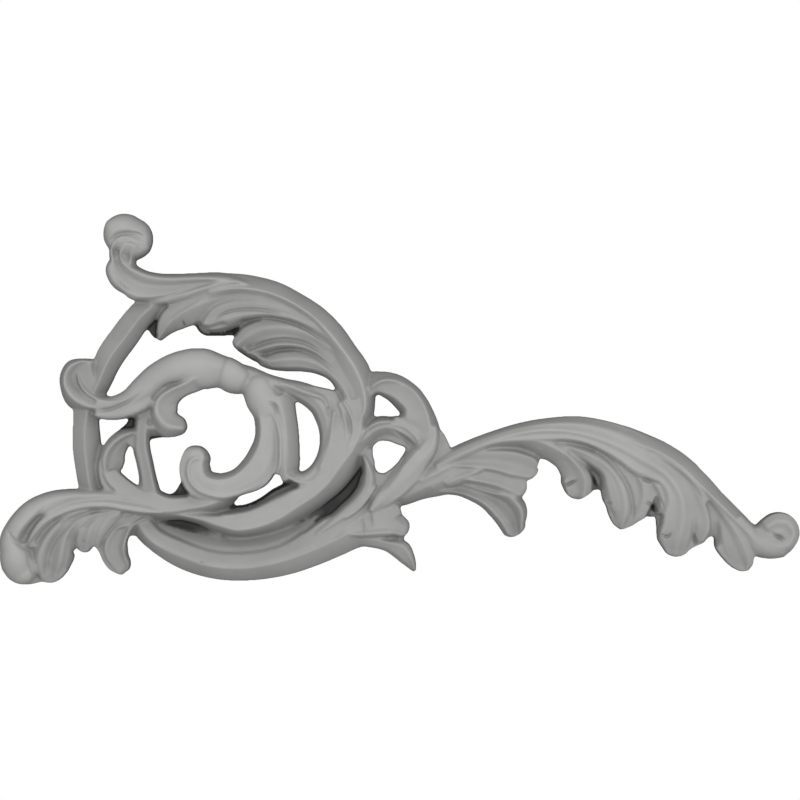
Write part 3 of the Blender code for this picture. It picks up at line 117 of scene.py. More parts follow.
# The ring bar
lay([
    (166, 296, 14, 9.5), (142, 317, 11, 15.3, 11), (127, 337, 11.5, 16.2, 11), (110, 360, 12, 14.8, 11),
    (100, 382, 11, 11.5, 11), (91, 405, 9, 17, 10.5), (86.5, 425, 13, 10.5), (86, 445, 15, 13, 10.5),
    (88, 465, 13, 12.5, 10.5), (91, 485, 10, 12, 10.5), (97, 505, 10, 12, 10),
], straight(0.35, 0.62))
lay([
    (137, 519, 12, 8), (150, 538, 13, 8.6, 11), (180, 555, 14.5, 12, 11.5), (215, 566, 14.5, 12.6, 12),
    (250, 567, 14.5, 13.2, 12), (285, 560, 15, 12), (315, 549, 20, 16, 12), (335, 540, 24, 16.6, 12),
    (352, 531, 22, 18, 11.5), (370, 524, 20, 20.5, 10),
], straight(0.72, 0.42, (-0.3, 0.96), (0, 1)))

# The sunk dish and the outer stem along the bottom
lay([
    (156, 519, 7, 8, 4), (178, 532, 9, 5.5), (205, 542, 12, 9, 7), (240, 545, 13, 8.5, 7.5),
    (270, 541, 13, 8, 7.5), (292, 532, 12, 6, 6.5), (308, 521, 9, 4, 4.5), (324, 508, 6, 3, 2),
], soft(0.35, 1, (0.5, 0.9)), 0.5, 0.5)
lay([
    (359, 398, 12, 16, 13.5), (362, 415, 9, 24, 14), (361, 432, 10, 29, 14.5), (354, 448, 14, 27, 15),
    (340, 467, 17, 22, 15), (330, 481, 15, 16, 15), (318, 493, 13, 15, 15), (300, 505, 13, 17, 15),
    (280, 518, 11, 17, 15), (257, 527, 8.5, 16, 14.6), (238, 529.5, 8, 14, 14), (218, 524.5, 8, 10, 13.2),
    (200, 518.5, 6, 5, 12.4), (182, 515, 5, 4, 11.6), (162, 514, 4, 10.8),
], straight(0.18, 0.85, (0, 1), (0.8, 0.93)), 0, 0.4)

# The knob and its folds
lay([(125, 234.5, 20.8, 21, 18.5), (131.5, 238.8, 21.3, 21, 18.5)], ROUND, 1, 1)
for rows in (
    [(114.5, 262, 3, 14.5), (113, 251, 3.5, 16.2), (117, 243, 2.5, 17)],
    [(124, 264, 3, 3.5, 15.5), (122.5, 253, 4, 5, 17), (129, 244, 3, 4, 18.3)],
    [(133, 264, 3, 13.5), (133, 254, 3.5, 4, 15.5), (139, 246, 3, 4, 17)],
):
    lay(rows, SOFT, 0.6, 0.6)

# The neck
lay([
    (123, 248, 13.5, 12, 14), (123, 259, 14.4, 10, 14.5), (130, 267.5, 7, 21, 15), (140, 273, 5, 26.5, 15),
    (155, 278, 5.5, 23.5, 15), (172, 279.5, 6, 20, 15), (190, 279, 5.9, 16, 15), (210, 279, 6.8, 11, 15.2),
    (228, 280.5, 7.5, 6.5, 15.4), (243, 283, 5, 4, 14.6), (256, 287, 2, 13),
], soft(0.3, 0.8, (-0.15, 0.95), (0, 1), (0.35, 0.84), (0.85, 0.95)))
lay([
    (118, 257, 4, 3.5, 13.5), (113, 269, 5, 6.8, 14.5), (117, 280, 5, 7, 14.5), (128, 290.5, 4, 4.6, 13.5),
    (138, 298, 3, 2.5, 12),
], ROUND, 0.8, 0.3)

# The upper leaf
lay([
    (358, 425, 7, 14, 14), (366, 406, 13, 9, 14.8), (364, 388, 15, 11, 15.3), (357, 370, 16, 12.5, 16),
    (346, 353, 11, 12, 16.5), (330, 334, 7, 14, 17), (313, 317, 7, 13.5, 17), (295, 304.5, 9, 12.6, 17),
    (275, 295, 10, 13.4, 17), (255, 290, 11, 14, 16.7), (238, 288.5, 11, 15, 16.2),
    (222, 290, 11, 16, 15.5), (210, 294, 12, 14.8),
], straight(0.66, 0.28, (-0.12, 0.98), (0, 1)))
# its lobes, stepping down inwards
lay([
    (235, 290, 10, 3, 16), (215, 295, 13, 6, 15), (197, 304, 17, 10, 13.5), (180, 315, 14, 11.5),
    (168, 326, 8.5, 11, 9.5), (159.5, 339.8, 1.8, 2.2, 6.5),
], straight(0.5, 0.85, (0, 1), (0.4, 0.93)))
lay([
    (150, 302.5, 1.5, 3, 10.5), (165, 300, 2, 4, 12.6), (185, 294.5, 2.2, 5, 14.2),
    (205, 288.5, 2.2, 4, 15.2), (225, 283.5, 2, 3, 15.8), (240, 281.5, 1.5, 2, 16),
], CORD, 0.3, 0.3)
lay([
    (344, 351, 4, 3, 15.4), (322, 330, 4.5, 3, 14.6), (297, 315, 7, 3, 13.8), (275, 307, 10.5, 3, 13.2),
    (250, 302.5, 16, 3.5, 12.6), (230, 303, 20, 3.5, 12.2), (214, 311, 17, 4, 11.5), (205, 324, 4, 9.5),
], soft(0.8, 0.8, (-0.72, 0.96), (-0.5, 0.84), (-0.12, 0.97), (0, 1)), 0, 0.5)
lay([
    (275, 312, 3, 12.2), (255, 311, 4.5, 3, 11.8), (235, 313, 6, 3, 11.6), (220, 318, 5.5, 3, 11.2),
    (209, 325, 2, 10),
], CORD, 0.4, 0.5)
lay([
    (356, 378, 4, 5, 14.2), (350, 365, 5, 13.6), (338, 351, 7, 5, 13), (322, 339, 9, 6, 12.4),
    (305, 331, 11, 6, 11.8), (285, 327, 11, 7, 11.2), (265, 328, 11, 8, 10.5), (250, 334, 10, 9, 9.6),
    (238.5, 344, 5.5, 6.8, 8),
], soft(0.76, 0.84), 0, 0.8)
lay([
    (350, 393, 3, 4, 12.8), (341, 375, 4, 12), (328, 360, 5, 11.4), (312, 349.5, 5, 6, 10.8),
    (296, 345, 6, 10.2), (280, 344.5, 6, 9.4), (265, 347.5, 7, 5, 8.6), (250, 352, 6, 5, 7),
], SOFT, 0.3, 0.8)
lay([
    (351, 418, 5, 4, 14), (350, 402, 8, 6, 13.6), (344, 388, 7.6, 7, 12.8), (334, 376, 6, 7.5, 12),
    (320, 365, 9.5, 7, 11.4), (305, 359.5, 12, 7, 10.8), (288, 359, 12.2, 7, 9.8), (272, 361, 8.6, 6, 8.2),
    (260, 360.5, 4.5, 3, 6),
], soft(0.5, 0.78, (-0.6, 0.85), (0, 1)), 0, 0.3)
lay([
    (356, 400, 9, 12), (345, 372, 9, 11.5), (330, 352, 9, 10.5), (305, 338, 9, 9.5), (275, 336, 9, 8.5),
    (252, 341, 9, 7, 6.5),
], FLAT, 0, 0.4)
lay([
    (330, 345, 6, 11), (310, 330, 6, 7, 9.5), (285, 321, 6, 8.5), (260, 320, 6, 7), (243, 325, 6, 5, 4),
], SHEET, 0, 0.3)
lay([
    (197, 323, 2, 3, 3), (205, 329, 4, 6, 6), (216, 329, 5, 7, 7.5), (229, 327, 5, 8.5, 8),
    (242, 324, 4, 10, 7),
], straight(1, 0.12), 0.3)
lay([
    (240, 346, 3, 5, 6), (248, 351, 3, 5.5, 6.5), (258, 356, 4, 6, 7), (270, 361, 4, 5, 7.5),
], SOFT, 0.5, 0.5)
lay([(236, 329, 3, 2), (243, 336, 6, 2.5)], SHEET)
lay([(155, 305, 9, 2.2), (152, 318, 8, 6, 2), (153, 328, 7, 5, 2), (158, 336, 2, 4, 2)], SHEET)

# The main inner stem, its curl and its hooked leaf
lay([
    (232, 370.5, 19.5, 11.5, 15), (222, 369, 18.5, 13.6, 16), (203, 367, 22, 18.5, 16.5),
    (182, 368.5, 16, 17.7, 16.2), (160, 378, 11.5, 16.2, 15.8), (145, 390.5, 12.5, 15.2, 15.2),
    (128, 401, 12, 11, 14.6), (112, 405, 9, 8.5, 14.4), (98, 404, 6, 7, 14.2),
], rounded(0.5, 0.45), 0, 0.3)
lay([
    (152, 397, 8, 4, 13.6), (140, 404, 8.4, 4.5, 13.8), (125, 411, 6.6, 4, 13.8),
    (110, 413.6, 5.6, 3.6, 13.8), (99, 413.6, 4, 2.5, 13.8),
], CORD, 0, 1.2)
lay([
    (128, 402, 3, 10, 13.6), (112, 407.5, 2, 10.5, 13.8), (97, 408.5, 3, 10.5, 13.9),
    (83, 404, 9.6, 11, 14.2), (72.5, 396.5, 9, 14.6), (66.5, 386, 6.2, 7, 15), (66.5, 375, 6.2, 6, 15),
    (72, 366, 6.3, 5, 14.6), (82, 361, 2.7, 4, 13), (94, 361, 2, 6, 10.5),
], straight(0.28, 0.72, (0, 1), (0.3, 0.96)), 0, 0.3)
lay([
    (79, 374, 1, 11.5), (81.5, 383, 3, 4, 12.6), (87, 391, 4.5, 5, 13.4), (97, 398, 5, 14),
    (112, 401.5, 5, 14.6), (128, 400, 4, 15),
], SOFT, 0.3, 0.5)
lay([(84, 364, 9, 8, 11), (83, 380, 12, 10), (88, 394, 10, 10.5)], SHEET, 0.6, 0.3)
lay([
    (200, 376, 14, 5, 15.5), (184, 384, 13, 2.5, 15.5), (170, 390.5, 15, 3.5, 15.3),
    (160.5, 398, 19.6, 4.2, 15.2), (157, 408, 21, 5.5, 15.2), (160.5, 417.5, 19.2, 9.5, 15.2),
    (168, 424.5, 16.6, 12.5, 15), (180, 427.5, 11, 8, 14.5),
], straight(0.6, 0.5, (-0.3, 0.86), (-0.1, 0.98), (0, 1), (0.25, 0.95)), 0, 0.75)

# The strut
lay([
    (148, 400, 5, 8, 8.5), (145, 415, 6, 9, 9), (142.5, 430, 7.2, 8, 9), (142, 447, 7.9, 9, 9),
    (145.5, 462, 7.4, 9, 9), (148.5, 477, 7.6, 9.6, 9.5), (151, 492, 9.2, 14, 10.5),
], soft(0.5, 0.6, (-0.65, 1), (0.5, 0.9)))
lay([(148, 428, 3, 12, 9), (163, 429, 3, 8.5, 9), (176, 430, 3, 6, 9)], straight(1, 0.1), 0, 0.3)
lay([(131, 417, 8, 1, 2), (126.5, 424, 9, 1, 2), (120, 430, 8, 1, 2.5), (113, 436, 5, 1, 5)], SHEET)
lay([(130, 437, 4, 6, 7), (136, 445, 5, 4, 7)], SHEET)

# The small left leaf and the fanned leaf at the lower left
lay([
    (133, 433, 6, 5, 9), (121, 438, 12, 7.5, 10.5), (111.5, 446.5, 16.5, 7, 11), (106, 457, 19.4, 6, 11),
    (105.5, 469, 17, 4, 10.5),
], soft(0.5, 0.6, (-0.3, 0.72), (0, 1)), 0.4, 0.3)
lay([
    (109, 449, 2, 8), (102.5, 459, 2.5, 9), (101.5, 473, 2.5, 9.5), (106, 486, 2.5, 3, 10.5),
    (117, 496, 2.5, 3, 12),
], CORD, 0.4)
# the stem of the fanned leaf, then its rolled back
lay([
    (105, 474, 13, 2, 11), (110, 483, 15, 3.5, 12), (122, 493, 14.5, 5, 12.8), (137, 503, 15.5, 8, 13.6),
    (152, 509.5, 19, 9, 14), (172, 511, 14.5, 8.5, 14), (190, 508.5, 13, 9.5, 14), (207, 505, 10, 11, 14),
    (222, 500, 6, 9.5, 13), (236, 493.5, 3, 5, 12),
], straight(0.78, 0.3, (-0.4, 0.95), (0, 1)), 0.2)
lay([(162, 520, 5, 1.8), (180, 522, 7, 8, 1.8), (198, 528, 6, 2.4), (220, 536, 6, 4)], SHEET, 0.4)
lay([(157, 496, 7, 4, 2.5), (172, 498, 4.5, 4, 2.5), (188, 488, 10, 5, 3)], SHEET)
lay([
    (140, 499, 4, 8, 13.2), (118, 496.5, 3.5, 7, 13.8), (95, 495.5, 4, 6, 14.6), (70, 497, 5.5, 8, 16),
    (51, 502.5, 8, 11, 17.5), (36, 512, 4.5, 14, 18.6), (22, 527, 4.5, 14.5, 19), (14, 541, 7, 13.5, 18),
    (14, 548, 8, 13.5, 17.6),
], rounded(0.85, 0.35), 0, 0.3)
lay([
    (15, 546, 12, 14, 17.5), (17, 556, 14, 16.5, 18), (21, 566, 14.5, 17.5, 17), (25, 572, 14, 16, 15),
], rounded(0.6, 0.35), 0.4, 0.75)
lay([
    (163, 512, 1, 14.6), (150, 510, 3.5, 4.2, 15.2), (130, 507, 4, 4.6, 15.8), (105, 503.5, 4, 4.4, 16.2),
    (80, 505.5, 4, 4.4, 16.4), (61, 511.5, 4.4, 16.6), (46, 520, 4.4, 4, 16.2), (36, 531, 3.6, 3.4, 15),
    (29.5, 543, 2, 12.5),
], soft(0.82, 0.86, (-0.6, 1), (-0.05, 0.93), (0.5, 1)), 0, 0.3)
lay([(50, 508, 7, 3, 14.5), (37, 522, 9, 7, 13.6), (29, 538, 8, 12), (32, 549, 6, 11)], SHEET, 0, 0.3)
# the fans
lay([
    (90, 510, 3, 13.8), (70, 517, 5, 13.6), (55, 529, 6, 13.2), (45, 545, 8, 9, 12.8),
    (40, 560, 11, 10, 12), (44, 575, 10, 9.4),
], soft(0.8, 0.72), 0, 0.6)
lay([
    (118, 511, 3, 13.6), (98, 513.5, 5, 4, 13.2), (80, 521, 8, 6, 12.8), (69, 533, 9, 12.4),
    (64, 547, 12, 10, 12), (61.5, 560, 11.5, 10, 11), (57.5, 572, 10.5, 11, 8.8),
], soft(0.45, 0.84, (-0.5, 0.78), (0, 1)), 0, 0.8)
for rows in (
    [(105, 511, 4, 13.3), (90, 518, 6, 5, 12.7), (81, 531, 6, 5.5, 11.9), (80, 545, 4.5, 3.5, 9)],
    [(112, 512, 4, 13.4), (98, 519, 6, 13), (90, 533, 6.5, 6, 12.1), (86.5, 548, 5.5, 8.6)],
    [(122, 512, 4, 13.2), (109, 519, 7, 6, 13), (101, 531, 7, 6.5, 12), (97, 544, 6, 5, 9)],
):
    lay(rows, soft(0.86, 0.9), 0, 0.7)
lay([
    (146, 514, 5, 4, 10.5), (130, 522, 7, 10.5), (119, 535, 12, 10), (115, 549, 13.4, 15.4, 9.6),
    (121, 562, 9.5, 13, 8.6),
], soft(0.4, 0.45, (-0.8, 1), (-0.25, 0.8), (0.2, 0.84), (0.55, 0.97)), 0, 0.95)
lay([(150, 517, 6, 5, 8), (122, 519, 8, 10), (98, 525, 12, 16, 10), (88, 539, 12, 11, 7)], SHEET)
lay([(75, 520, 6, 8, 11), (55, 535, 10, 10.5), (46, 555, 14, 13, 9), (48, 573, 13, 16, 7)], SHEET, 0, 0.7)
lay([(20, 572, 10, 10), (36, 577, 7, 9, 8), (52, 574, 10, 12, 8), (64, 566, 9, 8)], SHEET, 0.5, 0.3)
lay([(80, 544, 7, 9, 8), (92, 542, 7, 8, 8)], SHEET, 0.3, 0.3)
lay([(104, 548, 9, 8), (113, 562, 12, 7.6), (122, 568, 9, 7.6)], SHEET, 0.3, 0.5)
lay([(128, 519, 8, 9, 4), (142, 527, 7, 13.5, 4), (150, 535, 6, 8, 4)], SHEET)

# The inner volute and its branch
lay([
    (257, 388, 14, 15, 16.3), (263, 399, 15, 17, 16.6), (268, 412, 14, 14.5, 16),
], rounded(0.7, 0.5), 0.9, 0.5)
lay([
    (264, 398, 15, 17, 15.5), (269, 415, 8, 15.1, 15.6), (270.5, 435, 9, 15.2, 15.8),
    (267, 455, 13, 18, 16), (255, 472, 16.5, 17, 16.4), (238, 483.5, 11.5, 14.5, 16.8),
    (218, 487.5, 12, 14.3, 17), (201, 481, 16, 14, 17), (194.5, 467, 14, 16, 17),
    (196.8, 457.6, 13.4, 13.8, 16.5),
], straight(0.82, 0.4, (-0.4, 0.97), (0.2, 1), (0.6, 0.97)), 0, 0.85)
lay([
    (201, 457, 2, 17.5), (193.5, 459.5, 2.2, 2.5, 18), (190, 468, 2.2, 2.5, 18.2), (191, 478, 2.4, 2.5, 18),
    (198, 487.5, 2.4, 2.5, 17.6), (211, 494, 2.4, 17), (226, 496, 2.4, 16.4), (242, 491.5, 2.4, 15.8),
    (260, 483, 2, 15),
], CORD, 0.6, 0.6)
lay([
    (272, 410, 1.5, 1.8, 15.5), (277.5, 421, 2, 2.2, 16.6), (281, 435, 2.2, 2.4, 16.8),
    (281.5, 450, 2.2, 2.4, 16.8), (280.5, 466, 2.2, 16.2), (278, 473, 1.2, 15),
], CORD, 0.6, 0.6)
lay([
    (278, 396, 17, 12, 15), (283, 412, 13, 10, 15.3), (286, 430, 12.3, 6, 15.4), (286.5, 450, 13, 6, 15.2),
    (285.5, 467, 14, 6, 14.4), (287, 478, 9, 5, 12.5),
], straight(0.5, 0.92, (-0.18, 0.94), (0, 1)), 0, 0.5)
# the bead, then the branch
lay([
    (226, 371, 14.2, 17.6, 17.5), (236, 374.5, 12.4, 19, 17.8), (243, 377, 9.8, 17.5, 16.8),
], rounded(0.5, 0.45), 0.35, 0.5)
lay([
    (234, 368, 6, 9, 12), (250, 375, 8.6, 10, 13), (266, 381.5, 8.2, 9, 13), (283, 386, 7.8, 9, 13.2),
    (298, 390.5, 9.4, 10, 13), (311, 396, 10.4, 11.5, 12.8), (321, 404.5, 10.8, 12, 12.5),
    (327, 418, 7.5, 11.3, 12.2), (328, 433, 5.5, 8.4, 12), (325.5, 448, 5, 6.2, 12),
    (320.5, 461, 5, 5.4, 12.2), (312, 473, 6, 12.6), (303, 478.5, 6, 7, 12.8), (295, 477, 5, 7, 12.5),
], soft(0.5, 0.55, (-0.5, 0.9), (0, 1), (0.5, 0.88)), 0, 0.8)
lay([
    (281, 383, 1.5, 13.5), (292, 386.5, 2, 14.4), (304, 391.5, 2.2, 14.4), (315, 395, 2.4, 14),
    (323, 398, 2.2, 13.6), (328.5, 407, 1.5, 13),
], CORD, 0.5, 0.5)
lay([
    (300, 388, 4, 5, 10.5), (318, 393, 6, 7, 11), (333, 401, 9, 11.6), (340, 414, 8, 9, 12.6),
], FLAT, 0.3, 0.3)
lay([
    (290, 476, 2, 2.5, 13.3), (297, 480.5, 2, 2.5, 13.8), (307, 481.5, 2, 2.5, 13.8),
    (318, 477.5, 1.5, 2, 13.4),
], CORD, 0.6, 0.6)
lay([
    (335, 411, 2.5, 13.6), (333, 425, 3, 14), (330.5, 441, 3, 14.3), (326.5, 456, 3, 14.4),
    (320, 468, 2, 14.4),
], soft(0.88, 0.88), 0.5, 0.5)
lay([
    (342, 402, 4, 14.6), (347, 411, 4.5, 5, 15.2), (351, 423, 4, 6, 15.6), (351, 436, 3, 5, 15.6),
    (347, 447, 1.5, 2, 15.2),
], soft(0.86, 0.93, (-0.5, 1), (0.1, 0.88)), 0.5, 0.3)
lay([
    (224, 514.5, 6, 3, 12), (234, 514, 8.5, 3, 12.2), (248, 511.5, 8, 3, 12.6), (263, 506, 9, 3, 12.8),
    (279, 498.5, 12, 3, 13), (293, 492, 12, 3, 13.2), (303, 488, 7, 3, 13.6),
], soft(0.08, 1, (-0.5, 0.32), (0, 1)), 0.8, 0.3)

# The right loop, the leaf across it and its sheath
lay([
    (363, 458, 4, 5, 2), (358, 476, 8, 9, 1.6), (346, 494, 9, 1.6), (326, 513, 8, 2.4), (302, 531, 6, 4),
], SHEET, 0.3)
lay([
    (366, 394, 9, 8, 11.5), (373, 385, 13, 12, 12.5), (384, 381, 9.7, 18, 13),
    (397, 381.5, 7.2, 22.2, 13.5), (411, 388, 5.2, 24.8, 14), (421, 399, 5.2, 25, 14.3),
    (427.5, 413, 6.4, 30, 14.5), (430, 427, 9.5, 18, 14.5), (429, 440, 14, 14.5),
], straight(0.35, 0.35, (0, 1), (0.72, 0.86)))
lay([(372, 387.5, 2, 12.8), (379, 382, 2.3, 14), (390, 380, 2.3, 14.2), (399, 382, 2, 14)], CORD, 0.5, 0.5)
lay([
    (408, 386, 2, 14.6), (418, 395, 2.5, 3, 14.9), (425, 406, 2.5, 3, 15), (429, 419, 2, 15),
], SOFT, 0.4, 0.4)
lay([(396, 419, 3, 7, 11.6), (406, 424, 7, 8, 12.2), (417, 433, 8, 7, 12.8)], FLAT, 0.5, 0.5)
# the sheath in front
lay([
    (434.5, 427, 3, 4, 14.4), (434, 437, 4.5, 10, 15.2), (431, 447, 6, 17, 15.6), (421, 459, 8.5, 17, 15.4),
    (408, 472, 13, 15, 15), (394, 486, 12.5, 13, 14.6), (381, 498, 10, 14), (371, 510.5, 2.5, 5, 13),
], straight(0.85, 0.35, (-0.3, 0.98), (0, 1), (0.5, 0.94)), 0.8)
lay([
    (435, 430, 4, 6, 10), (440, 438, 5.2, 8, 10), (445, 450, 5, 12, 10), (440, 463, 10, 14, 10),
    (425, 480, 12, 10, 10),
], SHEET, 0.2)
# the leaf across the loop
lay([
    (361, 443, 2.5, 2, 13), (365, 432, 6, 3, 13.6), (375, 424.5, 7, 3, 13.6), (391, 421.5, 5, 3, 13),
], SOFT, 0.3)
lay([
    (391, 424, 8, 3, 12), (403, 427, 8, 3, 12.4), (413, 434.5, 5, 3, 12.6), (419.5, 444, 4, 2.5, 12.4),
], SOFT, 0, 0.4)
lay([
    (357, 453, 3, 10, 11), (365, 439, 3, 11, 11.6), (376, 430, 4, 12, 11.8), (388, 427, 4, 14, 11.8),
    (400, 431, 4, 14.5, 11.6), (411, 438, 4, 11, 11.4), (419, 448, 3, 12, 11),
], straight(0.95, 0.35))
lay([
    (374, 444, 2, 3, 6), (381, 438, 2.5, 4.5, 7), (393, 438, 2.5, 5, 8), (404, 442.5, 2.5, 7, 8),
    (413, 448, 2, 5, 8),
], CORD, 0.5, 0.5)
# the leaf between the sheath and the outer stem
lay([
    (363.5, 456, 1.5, 2, 11), (369, 466, 2.5, 8, 12), (372, 478, 3, 14, 12.4), (369, 490, 4, 14, 12.6),
    (361, 501, 5, 13, 12.6), (348, 512, 6, 11.5, 12.6), (333, 523, 6, 9, 12.2), (318, 533, 5, 6, 11),
], soft(0.86, 0.13, (0, 1), (0.3, 0.93)), 0.3, 0.6)
lay([
    (367, 450, 5.5, 5, 8), (372, 466, 5.5, 6, 8.5), (380, 483, 8, 6, 9.5), (378, 500, 10, 9, 10),
], SHEET, 0.3)
lay([
    (376, 486, 2, 13.2), (369, 497, 2.2, 13.8), (360, 508, 2.2, 13.8), (346, 518, 1.5, 13.2),
], SOFT, 0.5, 0.5)
lay([(372, 512, 8, 10.5), (350, 524, 8, 11.5), (330, 535, 6, 11.5)], FLAT, 0.3, 0.3)
lay([(404, 458, 10, 5.5, 8.5), (394, 474, 10, 8, 8.5), (381, 484, 9, 9)], SHEET)
# the cluster of two lobes
lay([
    (350, 530, 4, 7, 11.6), (362, 527, 9, 10.5, 12.5), (380, 524, 12, 13, 12.8), (393, 524, 13, 12.6, 12.4),
    (402, 528, 9.5, 10.5),
], soft(0.62, 0.5, (-0.2, 0.84), (0.3, 0.9), (0.62, 1), (0.85, 0.9)), 0, 0.75)
lay([
    (358, 541, 3, 5, 8), (373, 542, 5, 5.5, 9.2), (388, 545.5, 7, 6, 9.6), (400, 552, 12, 7.4, 9.4),
    (408.5, 560.5, 7.5, 6.2, 8.6), (414.6, 570.5, 1.8, 6),
], soft(0.75, 0.6, (-0.6, 1), (0.3, 0.85)), 0, 0.4)
lay([(366, 534, 8, 7), (385, 536, 8, 7), (404, 539, 4, 5)], SHEET)
lay([(372, 514, 9, 12, 11.5), (388, 511, 7, 9, 10.8), (400, 508, 4, 6, 9.6)], SHEET)

# The long right leaf
lay([
    (385, 502, 3, 7, 9), (402, 493, 5, 13, 10), (416, 485, 8, 16, 11), (430, 478, 14, 20, 12),
    (450, 470, 18, 24, 12), (470, 466, 18, 26, 11), (490, 466, 14, 9),
], straight(0.8, 0.3, (0, 1), (0.35, 0.92)))
# its raised back
lay([
    (436, 466, 5, 4, 13), (455, 456.5, 9, 4, 14), (470, 450, 9.5, 3.5, 14.8), (485, 443.5, 9, 3.5, 15.4),
    (500, 438, 8.7, 4.5, 16), (515, 434, 9.3, 6.5, 16.5), (532, 431, 10.3, 9.5, 17),
    (550, 430, 12, 10.5, 17.2), (565, 431, 14.5, 9, 17.3), (580, 433.5, 17, 8.5, 17.3),
    (596, 438, 19, 9.5, 17.2), (612, 444, 21, 11.5, 17), (627, 451, 22.5, 14, 16.8),
    (642, 459.5, 22, 16, 16.5), (655, 467, 20, 14, 16), (666, 476, 18, 11, 15.6), (674, 486, 17, 12, 15.2),
    (680, 498, 16, 14.6), (682, 511, 16, 20, 14), (681, 525, 16, 20, 13), (677, 539, 17.6, 19, 11.5),
    (675, 549.5, 15.6, 13, 9.4),
], soft(0.5, 0.88, (-0.5, 0.86), (0, 1), (0.4, 0.93), (0.75, 0.955)), 0, 0.6)
lay([
    (470, 449, 2, 4, 14), (485, 444.5, 3, 7.5, 14.8), (500, 441.5, 3, 8, 15.4), (520, 440, 3, 9, 15.8),
    (538, 441, 3, 14, 15.4), (552, 446.5, 4, 14, 14.6), (565, 454, 4, 15, 13.6),
], straight(0.95, 0.42))
# its lobes, from the root outwards
lay([
    (436, 467, 3, 12.4), (455, 461, 6, 6.5, 12.6), (475, 459.5, 9, 9.5, 12.8), (495, 460, 11.5, 12, 12.6),
    (513, 462, 12.5, 15.5, 12), (527.5, 466.5, 12.3, 13.4, 10.6),
], soft(0.75, 0.8, (-0.82, 1), (0.1, 0.88), (0.78, 1)), 0, 0.9)
lay([
    (440, 472, 3, 11.6), (460, 475, 4, 6, 11.8), (480, 477, 6, 7.5, 11.8), (500, 480.5, 8, 10, 11.6),
    (513, 485, 11, 12, 11), (519, 489, 9.8, 10.5, 10),
], soft(0.88, 0.72, (0, 0.9), (0.5, 1)), 0, 0.7)
lay([
    (440, 486, 4, 9, 7), (458, 487, 4, 8.4, 7.5), (474, 491, 5, 10.2, 8.6), (488, 498, 10, 11, 9.6),
    (500, 508.5, 23.5, 12, 10), (508, 518.5, 22.2, 12, 9.6), (512.5, 528, 14, 10.6, 8.2),
], soft(0.45, 0.45, (-0.7, 1), (-0.3, 0.62), (0.2, 0.86), (0.6, 1)), 0, 0.7)
lay([(480, 470, 12, 16, 6.5), (500, 472, 14, 20, 6.5), (518, 480, 14, 10, 5.5)], SHEET, 0, 0.7)
lay([(500, 492, 8, 10, 5), (514, 500, 12, 5)], SHEET, 0, 0.6)
lay([(505, 452, 10, 8, 7), (530, 453, 10, 9, 6), (548, 452, 8, 6, 6)], SHEET)
lay([(560, 450, 8, 8), (582, 459, 10, 12, 6.5), (593, 471, 10, 12, 4.5), (599, 488, 6, 3.5)], SHEET, 0, 0.2)
lay([
    (596, 449, 6, 5, 12.6), (612, 461, 7, 6, 12.5), (623, 478, 8, 12), (630, 497, 8, 10.8),
    (630, 512, 6, 8, 9),
], SHEET, 0, 0.6)
lay([(648, 480, 10, 12, 6), (652, 500, 10, 12, 4.5), (650, 516, 5, 7, 3.5)], SHEET, 0, 0.3)
lay([
    (692, 488, 9, 10, 11), (703, 508, 8, 12, 10.2), (707, 525, 7, 12, 9), (708, 534, 6, 9, 7),
], SHEET, 0, 0.4)
lay([(538, 444, 4, 6, 11), (570, 446, 4, 6, 11), (603, 456, 5, 6, 10.5)], SHEET)
lay([
    (421, 481, 4, 12.2), (432, 474.5, 6, 13.2), (442, 470, 4.5, 13.2), (449, 467.5, 1.5, 12.8),
], LEAFLET, 0.3, 0.2)
lay([
    (446, 483, 4, 11.2), (457, 478, 6, 12.4), (470, 473.5, 4.5, 12.6), (482, 470, 1.5, 12.4),
], LEAFLET, 0.3, 0.2)
lay([
    (548, 444, 3, 10, 13.5), (560, 450, 4, 14, 13.5), (570, 457.5, 5, 16.5, 13.2),
    (578.5, 467, 6, 20.5, 12.6), (584, 478, 7.5, 26, 11.6), (584, 490, 8, 22, 9.8),
], straight(0.75, 0.5, (0, 1), (0.3, 0.8)), 0, 0.75)
lay([
    (556, 443.5, 2, 5, 13), (574, 448.5, 4, 7.5, 13.4), (592, 456.5, 6, 10, 13.6), (608, 467, 7, 12, 13.6),
    (619, 482, 7, 19.5, 13.2), (624, 498, 6, 21, 12.6), (624.5, 512, 5.5, 17.5, 11.6), (622, 522, 4, 9, 10),
    (621, 528, 2, 2.5, 8.6),
], soft(0.84, 0.5, (-0.35, 0.97), (0, 1), (0.3, 0.93), (0.6, 0.87)), 0, 0.3)
lay([
    (608, 452, 5, 15.4), (624, 461, 9, 7, 15), (638, 474, 14, 9, 14.2), (643, 490, 13, 12, 12.6),
    (641, 505, 9, 13, 11), (633, 519, 7, 9, 9.2), (628, 524, 3, 8),
], soft(0.9, 0.7, (0, 1), (0.6, 0.82)), 0, 0.3)
lay([
    (642, 472, 8, 5, 14.6), (654, 483, 10, 6, 14), (661, 496, 10, 6, 12.6), (663, 508, 10, 8, 11.4),
], soft(0.85, 0.6), 0, 0.4)
for rows in (
    [(676, 503, 4, 11), (667, 508, 5, 11.4), (658, 512.5, 2.5, 3, 9.5)],
    [(679, 510, 4, 5, 11), (669, 520, 6, 11), (661, 530, 4, 5, 9)],
    [(680, 524, 5, 10.5), (670, 536, 5, 7, 10), (662, 541, 3, 4, 7)],
):
    lay(rows, SOFT, 0, 0.7)
lay([
    (652, 500, 10, 5, 4), (661, 512, 12, 6, 4.5), (667, 530, 12, 12.5, 5), (674, 548, 14, 11.5, 5),
], SHEET, 0, 0.6)
lay([(571, 478, 10, 8, 9), (576, 492, 9, 10, 8)], SHEET, 0.5, 0.6)
